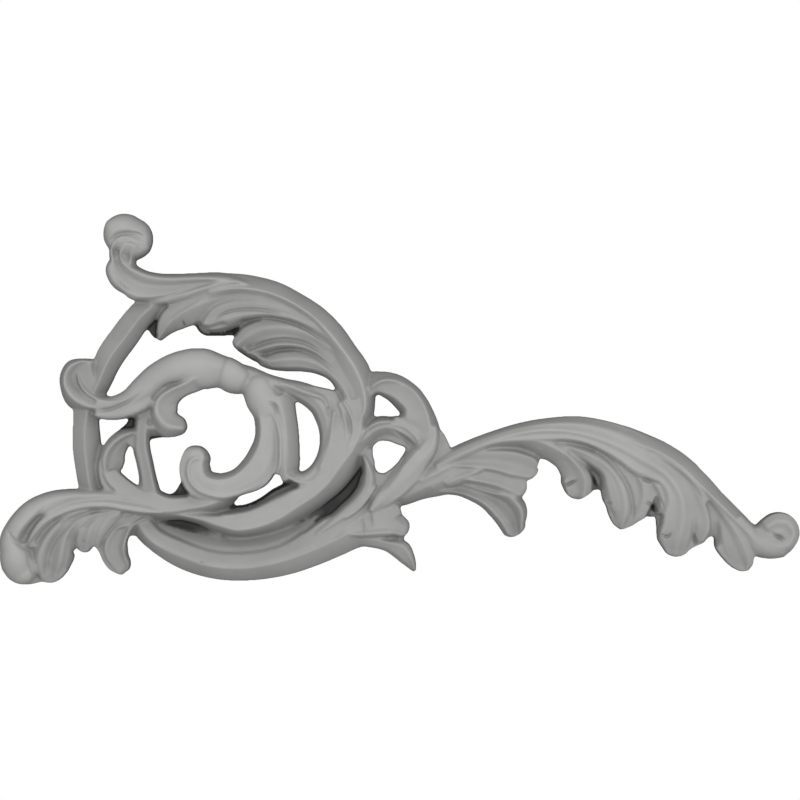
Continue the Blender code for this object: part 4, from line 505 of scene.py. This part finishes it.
lay([(612, 500, 8, 8.5), (618, 520, 10, 8), (636, 514, 8, 9, 8)], SHEET, 0.5, 0.5)
lay([(668, 535, 12, 8), (676, 548, 12, 8), (694, 540, 9, 8)], SHEET, 0.5, 0.5)
lay([(722, 545, 9, 8.5), (736, 560, 12, 8), (747, 564, 8, 8)], SHEET, 0.5, 0.5)
# the ridge of the outer half
lay([
    (606, 432, 10, 6, 14.6), (622, 437.5, 12, 5, 15), (641, 445, 12.5, 4.5, 15.2),
    (661, 453.5, 12, 4.5, 15.2), (680, 466, 12.2, 4.5, 15), (700, 485.5, 12.3, 4.5, 14.4),
    (715, 500, 10.6, 5, 13.8), (730, 515, 10.6, 5.5, 13.2), (745, 530, 9.6, 5, 12.6), (757, 543, 6, 5, 12),
], straight(0.38, 0.85))
lay([
    (650, 452, 1.5, 14.4), (668, 462, 1.8, 14.8), (685, 474.5, 1.8, 14.6), (697, 488, 1.5, 14),
    (705, 502, 1.5, 13),
], CORD, 0.4, 0.4)
lay([
    (664, 462, 5, 13), (680, 474, 6, 8, 13), (690, 488, 7, 10, 13), (697, 502, 8, 13, 12.8),
    (701, 515, 9.5, 14, 12.2), (702, 527, 9.5, 12, 11.2), (699, 537, 7.5, 9, 9.6),
], soft(0.72, 0.8, (-0.6, 1), (0.3, 0.92)), 0, 0.7)
lay([
    (700, 488, 5, 11), (712, 503, 7, 6, 11.8), (724, 517, 8, 13, 12), (735, 532, 10, 24, 12),
    (743, 547, 10, 28, 11), (746, 556, 7.5, 24, 10.2), (747, 563, 5.5, 17, 9.4), (745.5, 568, 3, 8, 8.6),
], straight(0.9, 0.45, (0, 1), (0.25, 0.84), (0.6, 0.78)), 0, 0.5)

# The end curl
lay([
    (735, 518, 8, 12), (748, 531, 9, 10, 12), (758, 540.5, 9, 15, 12.5), (770, 545.5, 9, 13, 12.5),
    (780, 544, 9, 13.4, 12.5),
], ROUND, 0, 0.4)
lay([
    (757, 528, 6, 10), (764, 540, 9, 7.2, 12.4), (775, 546, 10, 6.4, 12.4), (787, 543.5, 10, 6.4, 12.2),
    (792, 533, 7.5, 7, 12.2), (787, 522.5, 9, 7.6, 12.4), (776, 521, 8.5, 8.2, 12.6), (766, 526, 8, 7, 12),
], soft(0.9, 0.8), 0.4, 0.6)
lay([(770, 530, 8, 11.4), (780, 532, 7, 11.8)], FLAT, 0.8, 0.8)
lay([(770, 535, 17, 19.5, 8), (780, 535, 20.5, 8)], SHEET, 0.9, 0.8)

# Where the outline is trimmed: rows of (x, y, waste on the right, or below zero on the left).
TRIMS = (
    # under the lobes of the right leaf, from the lower left to the end curl
    [
        (541, 458.5, 10), (551, 464, 10), (557, 472, 8), (561, 483, 8), (566, 493, 8), (573, 498.5, 8),
        (580, 499.5, 8), (587, 496, 8), (594, 492, 8), (599, 496, 8), (605, 504, 8), (609, 516, 8),
        (614, 524.5, 8), (621, 530, 8),
    ],
    [(621, 530, 8), (631, 526.5, 8), (640, 521, 6), (648, 517, 5), (655, 519, 4)],
    [
        (655.5, 517, 5), (656.5, 529, 6), (657.5, 539, 6), (661.5, 546, 7), (667.5, 554, 8),
        (675, 556.8, 8), (684, 555, 8), (691, 549, 8), (698, 545.5, 6), (704, 543, 5), (708, 538.5, 4),
        (712, 542, 5), (717, 551, 6), (725, 561, 8), (734, 568.5, 8), (743, 571.5, 8), (750, 569.5, 6),
        (753.5, 563, 4), (754.5, 556.5, 3),
    ],
    # round the lower gap of the right loop, and along the hook in the volute gap
    [
        (379, 472.5, 3), (375.5, 463, 4), (373, 453, 4), (374, 446, 4), (379, 441.5, 4), (387, 441, 4),
        (396, 444, 4), (405.5, 448.7, 3), (403, 454, 4), (396, 464, 4), (389, 470, 4), (383, 473, 4),
        (377, 470.5, 4), (375, 462, 4),
    ],
    [
        (205, 388.5, -4), (196, 392, -4), (187, 395.5, -4), (180.5, 400.5, -4), (177.6, 407, -4),
        (180, 413.5, -4), (185.5, 419.5, -4), (187.3, 426, -4), (185, 432.5, -4), (177, 436.3, -4),
        (166, 437.3, -4),
    ],
    # under the fans of the left leaf
    [
        (4, 571, 8), (10, 579, 8), (19, 583.5, 8), (31, 584.3, 8), (42, 582, 8), (52, 583, 8),
        (60, 579.5, 8), (68, 571, 8), (74, 560, 8), (79, 550.5, 6),
    ],
    [(76.5, 548, 5), (80.5, 551.5, 6), (85, 554, 6), (90, 550.5, 5), (94, 546, 4)],
    [
        (94, 546, 4), (98.5, 551, 6), (103, 561, 7), (109, 569, 8), (118, 574, 8), (126, 575.5, 8),
        (130.5, 571.5, 8), (131, 562, 8), (129, 551, 8), (127.5, 543, 7), (130, 536.5, 6), (137, 537, 5),
    ],
)

# Creases and folds cut into the face: rows of (x, y, half width, depth in millimetres).
GROOVES = (
    [
        (112, 244, 3.4, 0), (119, 236.5, 4.7, 1.53), (130, 235, 5.4, 1.7), (141, 238, 4.7, 1.36),
        (147, 242, 2.7, 0),
    ],
    [(131, 262, 2.7, 0), (130, 254, 2.7, 0.5), (135, 248, 2, 0)],
    [(118, 262, 2, 0), (117, 253, 2, 0.3), (120, 247, 1.6, 0)],
    # under the neck and along the top of the leaf
    [(140, 301, 2, 0), (165, 297.5, 2.7, 1.02), (190, 290, 2.4, 0.6), (208, 285, 2, 0)],
    [
        (252, 318, 2, 0), (275, 318.5, 2.4, 1.2), (300, 326, 2.4, 1.4), (320, 338, 2.4, 1.2),
        (338, 353, 2, 0),
    ],
    [
        (247, 353, 2, 0), (262, 344, 2.7, 1.02), (285, 339.5, 2.7, 1.19), (305, 343, 2.7, 1.02),
        (322, 354, 2.7, 0.68), (335, 368, 2, 0),
    ],
    [
        (262, 357, 2, 0), (280, 350.5, 2.4, 0.7), (300, 350, 2.4, 0.8), (318, 358, 2.4, 0.8),
        (333, 371, 2, 0),
    ],
    # the scroll stem and its beads
    [(97, 411, 2, 0), (112, 408.5, 2.4, 1.27), (128, 402.5, 2.4, 1.27), (144, 391, 1.6, 0)],
    [(222, 361, 2, 0), (217.5, 372, 2.7, 0.2), (216, 384, 2, 0)],
    [(269, 402, 2.4, 0), (275, 405, 2.7, 1.36), (278, 414, 2, 0)],
    [(346, 411, 3.4, 0), (350, 423, 4.1, 1.02), (351, 437, 2.7, 0)],
    # folds of the right leaf and the eye of the end curl
    [(636, 476.5, 2, 0), (647, 480, 2.7, 1.19), (659, 483, 2, 0)],
    [(774, 534, 2.7, 0), (779, 537, 3.4, 1.02), (784, 539, 2, 0)],
)


def pit(x, y, size, depth):
    """A small round hole."""
    return [(x - 1.2 * size, y, size, 0), (x, y - 0.2, size, depth), (x + 1.2 * size, y, size, 0)]


# Pits, nicks, hair-thin creases and hollows: rows as in a stroke, with the depth last.
FINE_MARKS = (
    # pits and cracks in the casting
    pit(85, 541, 1.6, 0.6), pit(37, 562, 1.3, 0.4), pit(202, 562, 1.8, 0.9), pit(609, 503, 2.4, 1.3),
    pit(660, 535, 1.8, 0.8),
    [(183, 320, 1.2, 0), (184.5, 324, 1.4, 1.6), (185, 328, 1.2, 0)],
    [(563, 486, 1.4, 0), (568, 484, 2.4, 2.2), (572, 482, 2.2, 1.8), (577, 479.5, 1.2, 0)],
    [(162, 388, 1.5, 0), (172, 384, 2.8, 2, 1.3), (178, 383, 2.4, 2, 1.1), (184, 380, 1.2, 0)],
    # under the lip of the knob
    [
        (110, 245, 1.2, 2, 0), (118, 236.5, 1.5, 3, 1), (130, 233.5, 1.5, 3, 1.1), (142, 235, 1.5, 3, 1),
        (149, 240, 1.2, 2, 0),
    ],
    [(120, 242, 1.2, 0), (126, 239.5, 1.6, 0.8), (133, 240.5, 1.6, 0.6), (139, 243, 1.2, 0)],
    [(127, 245, 1.2, 0), (132, 244, 1.4, 0.6), (138, 247, 1.2, 0)],
    [(142, 244, 1.6, 0), (139, 250, 2.2, 0.7), (137, 258, 1.6, 0)],
    [(116, 258, 1.5, 0), (121, 267, 1.8, 0.5), (127, 278, 1.8, 0.3), (134, 285, 1.5, 0)],
    [(118, 277, 1.4, 0), (124, 286, 1.8, 1.2), (134, 291, 1.4, 0)],
    # the shadowed hollows under the lobes of the upper leaf
    [(200, 327, 3, 0), (212, 332, 3, 4, 1.6), (226, 330, 4, 5, 3), (237, 328, 6, 3.6), (243, 322, 3, 4, 0)],
    [
        (213, 322, 1.4, 0), (225, 313.5, 1.8, 2, 1.3), (245, 309.5, 2, 2.2, 1.4), (265, 310.5, 2, 2.2, 1.1),
        (290, 318, 1.5, 0),
    ],
    [(243, 322, 1.6, 0), (254, 319.5, 2, 0.5), (275, 318, 1.8, 0.3), (292, 321, 1.4, 0)],
    [(335, 388, 2, 0), (341, 396, 4, 3, 1.6), (343, 404, 2.5, 0)],
    # the crease above the branch, and the black nick over its gap
    [(276, 386, 1.5, 0), (285, 393, 3, 0.9), (294, 397, 3, 0.8), (302, 400, 1.5, 0)],
    # creases of the roll at the lower left
    [(8, 525, 2, 0), (18, 540, 2.8, 1.4), (25, 546, 3, 1.8), (33, 549, 3, 1.5), (40, 546, 1.5, 0)],
    [(29, 549, 2, 0), (31, 560, 2.4, 1.4), (35, 571, 2.4, 1.4), (42, 580, 1.5, 0)],
    [(49, 503, 2, 0), (38, 519, 4, 1.3), (28, 535, 4.5, 1.5), (22, 546, 2.5, 0)],
    # the broad shadowed valleys of the upper leaf, the lower left leaf and the right leaf
    [
        (168, 319, 3, 0), (185, 308, 5, 1), (205, 299, 5.5, 1.6), (235, 293.5, 5, 1.8),
        (265, 296, 4.5, 1.6), (295, 308, 4, 1.3), (320, 326, 3.5, 0.9), (342, 348, 2.5, 0),
    ],
    [(120, 509, 2, 0), (95, 511, 3, 1), (74, 517, 3, 1.2), (57, 527, 3, 1), (46, 540, 2, 0)],
    [(74, 524, 2, 0), (58, 537, 3, 0.9), (50, 552, 3.5, 1.2), (47, 568, 3.5, 1), (46, 580, 2, 0)],
    [(118, 512, 2, 0), (92, 521, 3, 0.8), (76, 536, 3, 1), (72, 550, 2, 0)],
    [(136, 518, 2, 0), (112, 529, 3, 1.2), (103, 543, 3, 1.2), (100, 553, 2, 0)],
    [
        (556, 441, 2, 0), (582, 444, 3, 0.8), (605, 457, 3.5, 1.2), (619, 473, 3.5, 1.3),
        (628, 488, 3.5, 1.3), (632, 505, 3, 1), (632, 520, 2, 0),
    ],
    # the shadowed feet of the right loop and its crossing leaf
    [(392, 429, 1.6, 0), (404, 437, 3, 1.5), (414, 445, 3, 1.3), (421, 450, 1.6, 0)],
    [(405, 457, 1.6, 0), (396, 473, 3.5, 3, 1.6), (386, 485, 3.5, 3, 1.4), (379, 492, 1.6, 0)],
    # folds of the right leaf
    [(634, 476, 1.4, 0), (645, 479, 1.6, 2, 0.5), (657, 483, 1.4, 1.6, 0.3), (662, 484, 1.2, 0)],
    [(645, 502, 2, 0), (650, 504, 3, 4, 2.2), (655, 509, 3, 4, 2.4), (658, 516, 2, 0)],
    [(659, 497, 1.6, 0), (662, 505, 2, 0.9), (664, 513, 1.6, 0)],
    [(661, 533, 2, 0), (665, 536, 2.4, 2), (671, 532, 1.6, 0)],
    [(693, 532, 1.6, 0), (694.5, 540, 2.6, 2.2), (696, 546, 2, 0)],
    [(590, 470, 1.6, 0), (594, 480, 2.4, 1.5), (598, 488, 2, 0)],
    [(770, 531, 1.4, 0), (776, 536, 2, 1.2), (783, 538, 1.4, 0)],
    # the cluster of small leaves
    [(362, 514, 1.6, 0), (363.5, 525, 2, 0.8), (364, 537, 1.6, 0)],
    [(330, 540, 1.6, 0), (338, 536, 2, 0.6), (346, 530, 1.6, 0)],
)

# Where a trimmed underside was left rough: rows of (x, y, half width, roughness in millimetres).
ROUGH_PLACES = (
    [(200, 331, 3, 0), (215, 333, 4, 0.3), (234, 331, 4, 0.3), (246, 327, 3, 0)],
    [(236, 345, 4, 0.1), (248, 354, 4, 0.35), (262, 361, 4, 0.3), (280, 368, 3, 0)],
    [(228, 508, 3, 0), (250, 506, 5, 0.25), (272, 497, 5, 0.25), (292, 486, 4, 0)],
    [(645, 516, 3, 0), (652, 514, 4, 0.3), (658, 522, 4, 0.3), (659, 536, 3, 0)],
)


def hollowed(marks, shape):
    """How deep marks cut into the face, in millimetres on the grid."""
    depths = np.zeros(shape)
    for rows in marks:
        flat, depth = stroke_face(rows, HOLLOW)
        cut = np.zeros(shape)
        np.maximum.at(cut, cells_of(flat), depth)
        depths += cut
    return depths


def uneven(shape):
    """Soft waves all over and a coarse grain in the rough places, in millimetres."""
    random = np.random.default_rng(SEED).standard_normal(shape)
    waves = blur(random, WAVE_SIZE / CELL)
    grain = blur(random, GRAIN_SIZE / CELL)
    return WAVES * waves / waves.std() + hollowed(ROUGH_PLACES, shape) * grain / grain.std()


def crisper(face):
    """The face with its ridges and creases brought out."""
    gains = [
        share * np.clip(face - blur(face, size / CELL), -MOST_CRISPED, MOST_CRISPED)
        for size, share in CRISPNESS
    ]
    return face + sum(gains)


def smooth_line(rows):
    """Evenly spaced rows on a smooth curve through the given ones; sizes never swing past them."""
    rows = np.array([(*row[:3], *row[-2:]) for row in rows], float)
    gaps = np.hypot(*np.diff(rows[:, :2], axis=0).T)
    along = np.concatenate([[0.0], np.cumsum(gaps)])
    slope = np.empty_like(rows)
    last = len(rows) - 1
    for i in range(1, last):
        before = (rows[i] - rows[i - 1]) / gaps[i - 1]
        after = (rows[i + 1] - rows[i]) / gaps[i]
        slope[i] = (before * gaps[i] + after * gaps[i - 1]) / (gaps[i - 1] + gaps[i])
    slope[0] = (rows[1] - rows[0]) / gaps[0]
    slope[last] = (rows[last] - rows[last - 1]) / gaps[-1]
    if last > 1:
        slope[0] = 1.5 * slope[0] - 0.5 * slope[1]
        slope[last] = 1.5 * slope[last] - 0.5 * slope[last - 1]
    where = np.linspace(0, along[-1], max(3, int(along[-1] / SPACING) + 2))
    part = np.clip(np.searchsorted(along, where, side="right") - 1, 0, last - 1)
    gap = gaps[part][:, None]
    t = (where - along[part])[:, None] / gap
    start, end = rows[part], rows[part + 1]
    line = (2 * t**3 - 3 * t**2 + 1) * start + (3 * t**2 - 2 * t**3) * end
    line += ((t**3 - 2 * t**2 + t) * slope[part] + (t**3 - t**2) * slope[part + 1]) * gap
    low, high = np.minimum(start, end), np.maximum(start, end)
    line[:, 2:] = np.clip(line[:, 2:], low[:, 2:], high[:, 2:])
    return line


def carved(knots, bend, places):
    """Share of the crest height at each place across a stroke."""
    at, shares = np.array(knots, float).T
    part = np.clip(np.searchsorted(at, places, side="right") - 1, 0, len(at) - 2)
    t = (places - at[part]) / (at[part + 1] - at[part])
    start, end = shares[part], shares[part + 1]
    fall = np.where(start > end, t, 1 - t)
    if bend == "round":
        rise = np.sqrt(np.clip(1 - fall * fall, 0, 1))
    elif bend == "soft":
        rise = 1 - fall * fall * (3 - 2 * fall)
    else:
        rise = 1 - fall
    return np.minimum(start, end) + np.abs(start - end) * rise


def end_cap(row, way, roundness):
    """Rows that round off the end of a stroke; none where it isn't rounded."""
    reach = 0.5 * (row[2] + row[3]) * roundness
    count = max(3, int(1.6 * reach / SPACING) + 2) if roundness else 0
    rows = []
    # nearly a quarter turn, so that the last row keeps some width
    for k in range(1, count + 1):
        angle = 0.49 * np.pi * k / count
        out = row.copy()
        out[:2] += way * reach * np.sin(angle)
        out[2:4] *= np.cos(angle)
        out[4] *= 1 - CAP_DROP * (1 - np.cos(angle))
        rows.append(out)
    return rows


def stroke_face(rows, profile, first=0, last=0):
    """Close points on the face of one stroke: their places on the drawing and their heights."""
    line = smooth_line(rows)
    way = np.gradient(line[:, :2], axis=0)
    way /= np.maximum(np.hypot(way[:, 0], way[:, 1]), 1e-9)[:, None]
    start = end_cap(line[0], -way[0], first)
    end = end_cap(line[-1], way[-1], last)
    way = np.array([way[0]] * len(start) + list(way) + [way[-1]] * len(end))
    line = np.array(start[::-1] + list(line) + end)
    left = np.stack([way[:, 1], -way[:, 0]], 1)
    places = np.linspace(-1, 1, int(line[:, 2:4].max() * 2 / SPACING) + 3)
    spread = -places * np.where(places < 0, line[:, 2:3], line[:, 3:4])
    flat = line[:, None, :2] + spread[..., None] * left[:, None]
    height = line[:, 4:5] * carved(*profile, places)
    return flat.reshape(-1, 2), height.reshape(-1)


def cells_of(flat):
    """Row and column in the grid of heights for places on the drawing."""
    row = np.rint((flat[:, 1] - DRAWN[0][1]) / CELL).astype(int)
    column = np.rint((flat[:, 0] - DRAWN[0][0]) / CELL).astype(int)
    return row, column


def blur(field, spread):
    """The grid softened over so many cells."""
    reach = int(3 * spread) + 1
    offsets = np.arange(-reach, reach + 1)
    weights = np.exp(-0.5 * (offsets / spread) ** 2)
    weights /= weights.sum()
    for turn in range(2):
        edged = np.pad(field, ((reach, reach), (0, 0)), mode="edge")
        field = sum(w * edged[reach + k : reach + k + len(field)] for k, w in zip(offsets, weights)).T
    return field


def widest(field, radius):
    """The highest value within a radius of each cell."""
    out = field.copy()
    reach = int(radius)
    for i in range(-reach, reach + 1):
        for j in range(-reach, reach + 1):
            if i * i + j * j <= radius * radius:
                out = np.maximum(out, np.roll(field, (i, j), (0, 1)))
    return out


def laid_strokes(shape):
    """Heights of all strokes laid over one another, each melting a little into those below."""
    high = np.zeros(shape)
    inside = np.zeros(shape, bool)
    for stroke in STROKES:
        flat, height = stroke_face(*stroke)
        row, column = cells_of(flat)
        box = (slice(row.min(), row.max() + 1), slice(column.min(), column.max() + 1))
        layer = np.full(high[box].shape, -1.0)
        np.maximum.at(layer, (row - row.min(), column - column.min()), height)
        here = layer >= 0
        below, held = high[box], inside[box]
        near = np.maximum(BLEND - np.abs(below - layer), 0)
        melted = np.maximum(below, layer) + near**2 / (4 * BLEND)
        high[box] = np.where(here & held, melted, np.where(here, layer, below))
        inside[box] = held | here
    return high, inside


def waste(shape):
    """The places that are trimmed off the outline."""
    cut = np.zeros(shape, bool)
    for rows in TRIMS:
        sides = [(x, y, max(-wide, 0), max(wide, 0), 1) for x, y, wide in rows]
        cut[cells_of(stroke_face(sides, SHEET)[0])] = True
    return cut


def carried_out(high, reach):
    """The heights carried on past the outline, so that softening doesn't drop the edges."""
    known = high > 0
    high = np.where(known, high, 0)
    around = [(i, j) for i in (-1, 0, 1) for j in (-1, 0, 1) if i or j]
    for ring in range(reach):
        total = sum(np.roll(high, step, (0, 1)) for step in around)
        count = sum(np.roll(known, step, (0, 1)).astype(int) for step in around)
        grown = ~known & (count > 0)
        high[grown] = total[grown] / count[grown]
        known = known | grown
    return high


def relief():
    """Heights of the carved face in millimetres on the grid; behind the back outside the outline."""
    (left, top), (right, bottom) = DRAWN
    shape = (int((bottom - top) / CELL) + 1, int((right - left) / CELL) + 1)
    high, inside = laid_strokes(shape)
    slit = SLIT / CELL
    inside = ~widest(~widest(inside, slit), slit)
    inside &= ~waste(shape)
    high = carried_out(high, int(CARRIED_OUT / CELL))
    high = -widest(-widest(high, slit), slit)
    face = blur(high, SOFTENING / CELL) - hollowed(GROOVES, shape)
    face = blur(face, CREASE_SOFTENING / CELL)
    face = crisper(face) - hollowed(FINE_MARKS, shape) - uneven(shape)
    share = np.clip(blur(inside.astype(float), OUTLINE_SOFTENING / CELL), 1e-4, 1 - 1e-4)
    # drawing steps inwards from the outline: a softened edge is nearly a logistic curve, this wide
    away = 0.5875 * OUTLINE_SOFTENING * np.log(share / (1 - share))
    turned = np.clip(1 - away / EDGE_ROUND, 0, 1)
    face = face - EDGE_DROP * (1 - np.sqrt(1 - turned**2))
    face = face - WALL_FALL * np.maximum(WALL_START - away, 0)
    return np.maximum(face, -BEHIND)


def slab(face):
    """A closed slab under the carved face, kept only where the face is above the foot of the walls."""
    rows, columns = face.shape
    kept = face > 0.1 - BEHIND
    kept = kept[:-1, :-1] | kept[1:, :-1] | kept[:-1, 1:] | kept[1:, 1:]
    # cells that would touch only at a corner get both their neighbours
    for turn in range(2):
        falling = kept[:-1, :-1] & kept[1:, 1:] & ~kept[:-1, 1:] & ~kept[1:, :-1]
        rising = ~kept[:-1, :-1] & ~kept[1:, 1:] & kept[:-1, 1:] & kept[1:, :-1]
        kept[:-1, 1:] |= falling
        kept[:-1, :-1] |= rising
    row, column = np.nonzero(kept)
    corner = row * columns + column
    ring = np.stack([corner, corner + columns, corner + columns + 1, corner + 1], 1)
    used, first = np.unique(ring, return_inverse=True)
    top = first.reshape(-1, 4)
    count = len(used)
    x = ((used % columns) * CELL + DRAWN[0][0] - MOUNT[0]) * STEP
    z = (MOUNT[1] - (used // columns) * CELL - DRAWN[0][1]) * STEP
    front = np.stack([x, -MM * face.reshape(-1)[used], z], 1)
    back = np.stack([x, np.full(count, MM * (BEHIND + 1)), z], 1)
    sides = []
    padded = np.pad(kept, 1)
    for side, (i, j) in enumerate(((0, -1), (1, 0), (0, 1), (-1, 0))):
        bare = ~padded[1 + i : rows + i, 1 + j : columns + j][kept]
        start, end = top[bare, side], top[bare, (side + 1) % 4]
        sides.append(np.stack([end, start, start + count, end + count], 1))
    quads = np.concatenate([top, top[:, ::-1] + count] + sides)
    mesh = bpy.data.meshes.new(NAME)
    mesh.from_pydata(np.concatenate([front, back]).tolist(), [], quads.tolist())
    return mesh


def fine_casting():
    """The whole carving as one fine closed mesh, flat at the back."""
    casting = bpy.data.objects.new(NAME, slab(relief()))
    bpy.context.scene.collection.objects.link(casting)
    thin = casting.modifiers.new("thin out", "DECIMATE")
    thin.ratio = MOST_TRIANGLES / (2.0 * len(casting.data.polygons))
    bpy.ops.mesh.primitive_cube_add(size=1.0)
    cutter = bpy.context.object
    cutter.scale = CUTTER
    cutter.location = (0.0, CUTTER[1] / 2, 0.0)
    back = casting.modifiers.new("flat back", "BOOLEAN")
    back.operation = "DIFFERENCE"
    back.solver = "EXACT"
    back.object = cutter
    graph = bpy.context.evaluated_depsgraph_get()
    casting.data = bpy.data.meshes.new_from_object(casting.evaluated_get(graph))
    casting.modifiers.clear()
    bpy.data.objects.remove(cutter)
    casting.data.name = NAME
    # smooth everywhere but on the flat back
    for face in casting.data.polygons:
        face.use_smooth = face.normal.y < 0.99
    return casting


def wired(node, inputs):
    """A shader node with its inputs set: numbers, colours or the outputs of other nodes."""
    for name, value in inputs.items():
        if isinstance(value, bpy.types.NodeSocket):
            node.id_data.links.new(value, node.inputs[name])
        else:
            node.inputs[name].default_value = value
    return node


def added(tree, kind, inputs, **settings):
    """A new shader node with its settings and inputs."""
    node = tree.nodes.new("ShaderNode" + kind)
    for name, value in settings.items():
        setattr(node, name, value)
    return wired(node, inputs)


def ranged(tree, value, start, end, low, high):
    """A value that runs from start to end, brought to run from low to high."""
    limits = {"From Min": start, "From Max": end, "To Min": low, "To Max": high}
    return added(tree, "MapRange", {"Value": value, **limits}).outputs["Result"]


def primer():
    """Matt grey primer with painted light and shade by height: lighter on the crests, nearly black on the
    deepest floors, the low walls and the back.
    """
    material = bpy.data.materials.new("grey primer")
    material.use_nodes = True
    tree = material.node_tree
    place = added(tree, "TexCoord", {}).outputs["Object"]

    def noise(scale, detail):
        return added(tree, "TexNoise", {"Scale": scale, "Detail": detail, "Vector": place}).outputs["Fac"]

    def speckle(scale, detail, low, high):
        return ranged(tree, noise(scale, detail), 0.3, 0.7, low, high)

    # painted light and shade: the grey turns with the height off the back, a little raggedly
    depth = added(tree, "SeparateXYZ", {"Vector": place}).outputs["Y"]
    ragged = added(tree, "Math", {0: depth, 1: speckle(400.0, 3.0, -0.2 * MM, 0.2 * MM)}, operation="ADD")
    level = ranged(tree, ragged.outputs[0], -TOP_HEIGHT * MM, 0.0, 0.0, 1.0)
    grey = added(tree, "ValToRGB", {"Fac": level})
    stops = grey.color_ramp.elements
    stops.remove(stops[-1])
    # painted light on the crests, painted shade down to the floors and the back
    for height, light in PAINTED_LIGHT_AND_SHADE_AT_HEIGHT:
        stop = stops.new(1.0 - height / TOP_HEIGHT)
        stop.color = (light, light, 0.985 * light, 1.0)
    stops.remove(stops[0])
    shades = {"Factor": 1.0, "A": grey.outputs["Color"], "B": speckle(60.0, 4.0, 0.95, 1.04)}
    mottled = added(tree, "Mix", shades, data_type="RGBA", blend_type="MULTIPLY")
    grain = added(tree, "Bump", {"Strength": 0.2, "Distance": 0.2 * MM, "Height": noise(1400.0, 2.0)})
    wired(tree.nodes["Principled BSDF"], {
        "Base Color": mottled.outputs["Result"],
        "Roughness": speckle(90.0, 3.0, 0.52, 0.7),
        "Specular IOR Level": 0.4,
        "Normal": grain.outputs["Normal"],
    })
    return material


def lamp(name, place, power):
    light = bpy.data.lights.new(name, "AREA")
    light.shape = "SQUARE"
    light.size = LAMP_SIZE
    light.energy = power
    thing = bpy.data.objects.new(name, light)
    bpy.context.scene.collection.objects.link(thing)
    thing.location = place
    thing.rotation_euler = (Vector(LIT_PLACE) - Vector(place)).to_track_quat("-Z", "Y").to_euler()


def surroundings():
    """White all round to the eye, and a soft dome of light in front of the casting."""
    world = bpy.data.worlds.new("white surroundings")
    bpy.context.scene.world = world
    world.use_nodes = True
    tree = world.node_tree
    tree.nodes.clear()
    way = added(tree, "TexCoord", {}).outputs["Generated"]
    behind = added(tree, "SeparateXYZ", {"Vector": way}).outputs["Y"]
    strength = ranged(tree, behind, -0.05, 0.05, WORLD_LIGHT, BACK_LIGHT)
    lit = added(tree, "Background", {"Color": WHITE, "Strength": strength})
    seen = added(tree, "Background", {"Color": WHITE, "Strength": 1.0})
    to_the_eye = added(tree, "LightPath", {}).outputs["Is Camera Ray"]
    mix = added(tree, "MixShader", {0: to_the_eye, 1: lit.outputs[0], 2: seen.outputs[0]})
    added(tree, "OutputWorld", {"Surface": mix.outputs[0]})


def floor():
    bpy.ops.mesh.primitive_plane_add(size=FLOOR_SIZE, location=FLOOR_PLACE)
    ground = bpy.context.object
    ground.name = "floor"
    material = bpy.data.materials.new("pale floor")
    material.use_nodes = True
    surface = material.node_tree.nodes["Principled BSDF"]
    wired(surface, {"Base Color": (0.8, 0.8, 0.8, 1.0), "Roughness": 0.9})
    ground.data.materials.append(material)


def camera():
    """Straight on from the front, with a long lens."""
    lens = bpy.data.cameras.new("camera")
    lens.lens = LENS
    lens.sensor_width = 36.0
    lens.clip_end = FAR
    thing = bpy.data.objects.new("camera", lens)
    bpy.context.scene.collection.objects.link(thing)
    thing.location = EYE
    thing.rotation_euler = (math.pi / 2, 0.0, 0.0)
    bpy.context.scene.camera = thing


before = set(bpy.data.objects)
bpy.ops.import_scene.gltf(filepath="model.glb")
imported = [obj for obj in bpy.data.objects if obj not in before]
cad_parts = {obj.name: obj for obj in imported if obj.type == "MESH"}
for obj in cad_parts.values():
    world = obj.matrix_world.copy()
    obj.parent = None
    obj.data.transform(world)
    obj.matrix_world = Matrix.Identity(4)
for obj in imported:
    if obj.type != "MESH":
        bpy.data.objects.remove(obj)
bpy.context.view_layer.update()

casting = fine_casting()
casting.data.materials.clear()
casting.data.materials.append(primer())
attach(casting, "root")
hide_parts("leaf_scroll_onlay")

floor()
surroundings()
for name, place, power in LAMPS:
    lamp(name, place, power)
camera()
bpy.context.scene.view_settings.view_transform = "Standard"
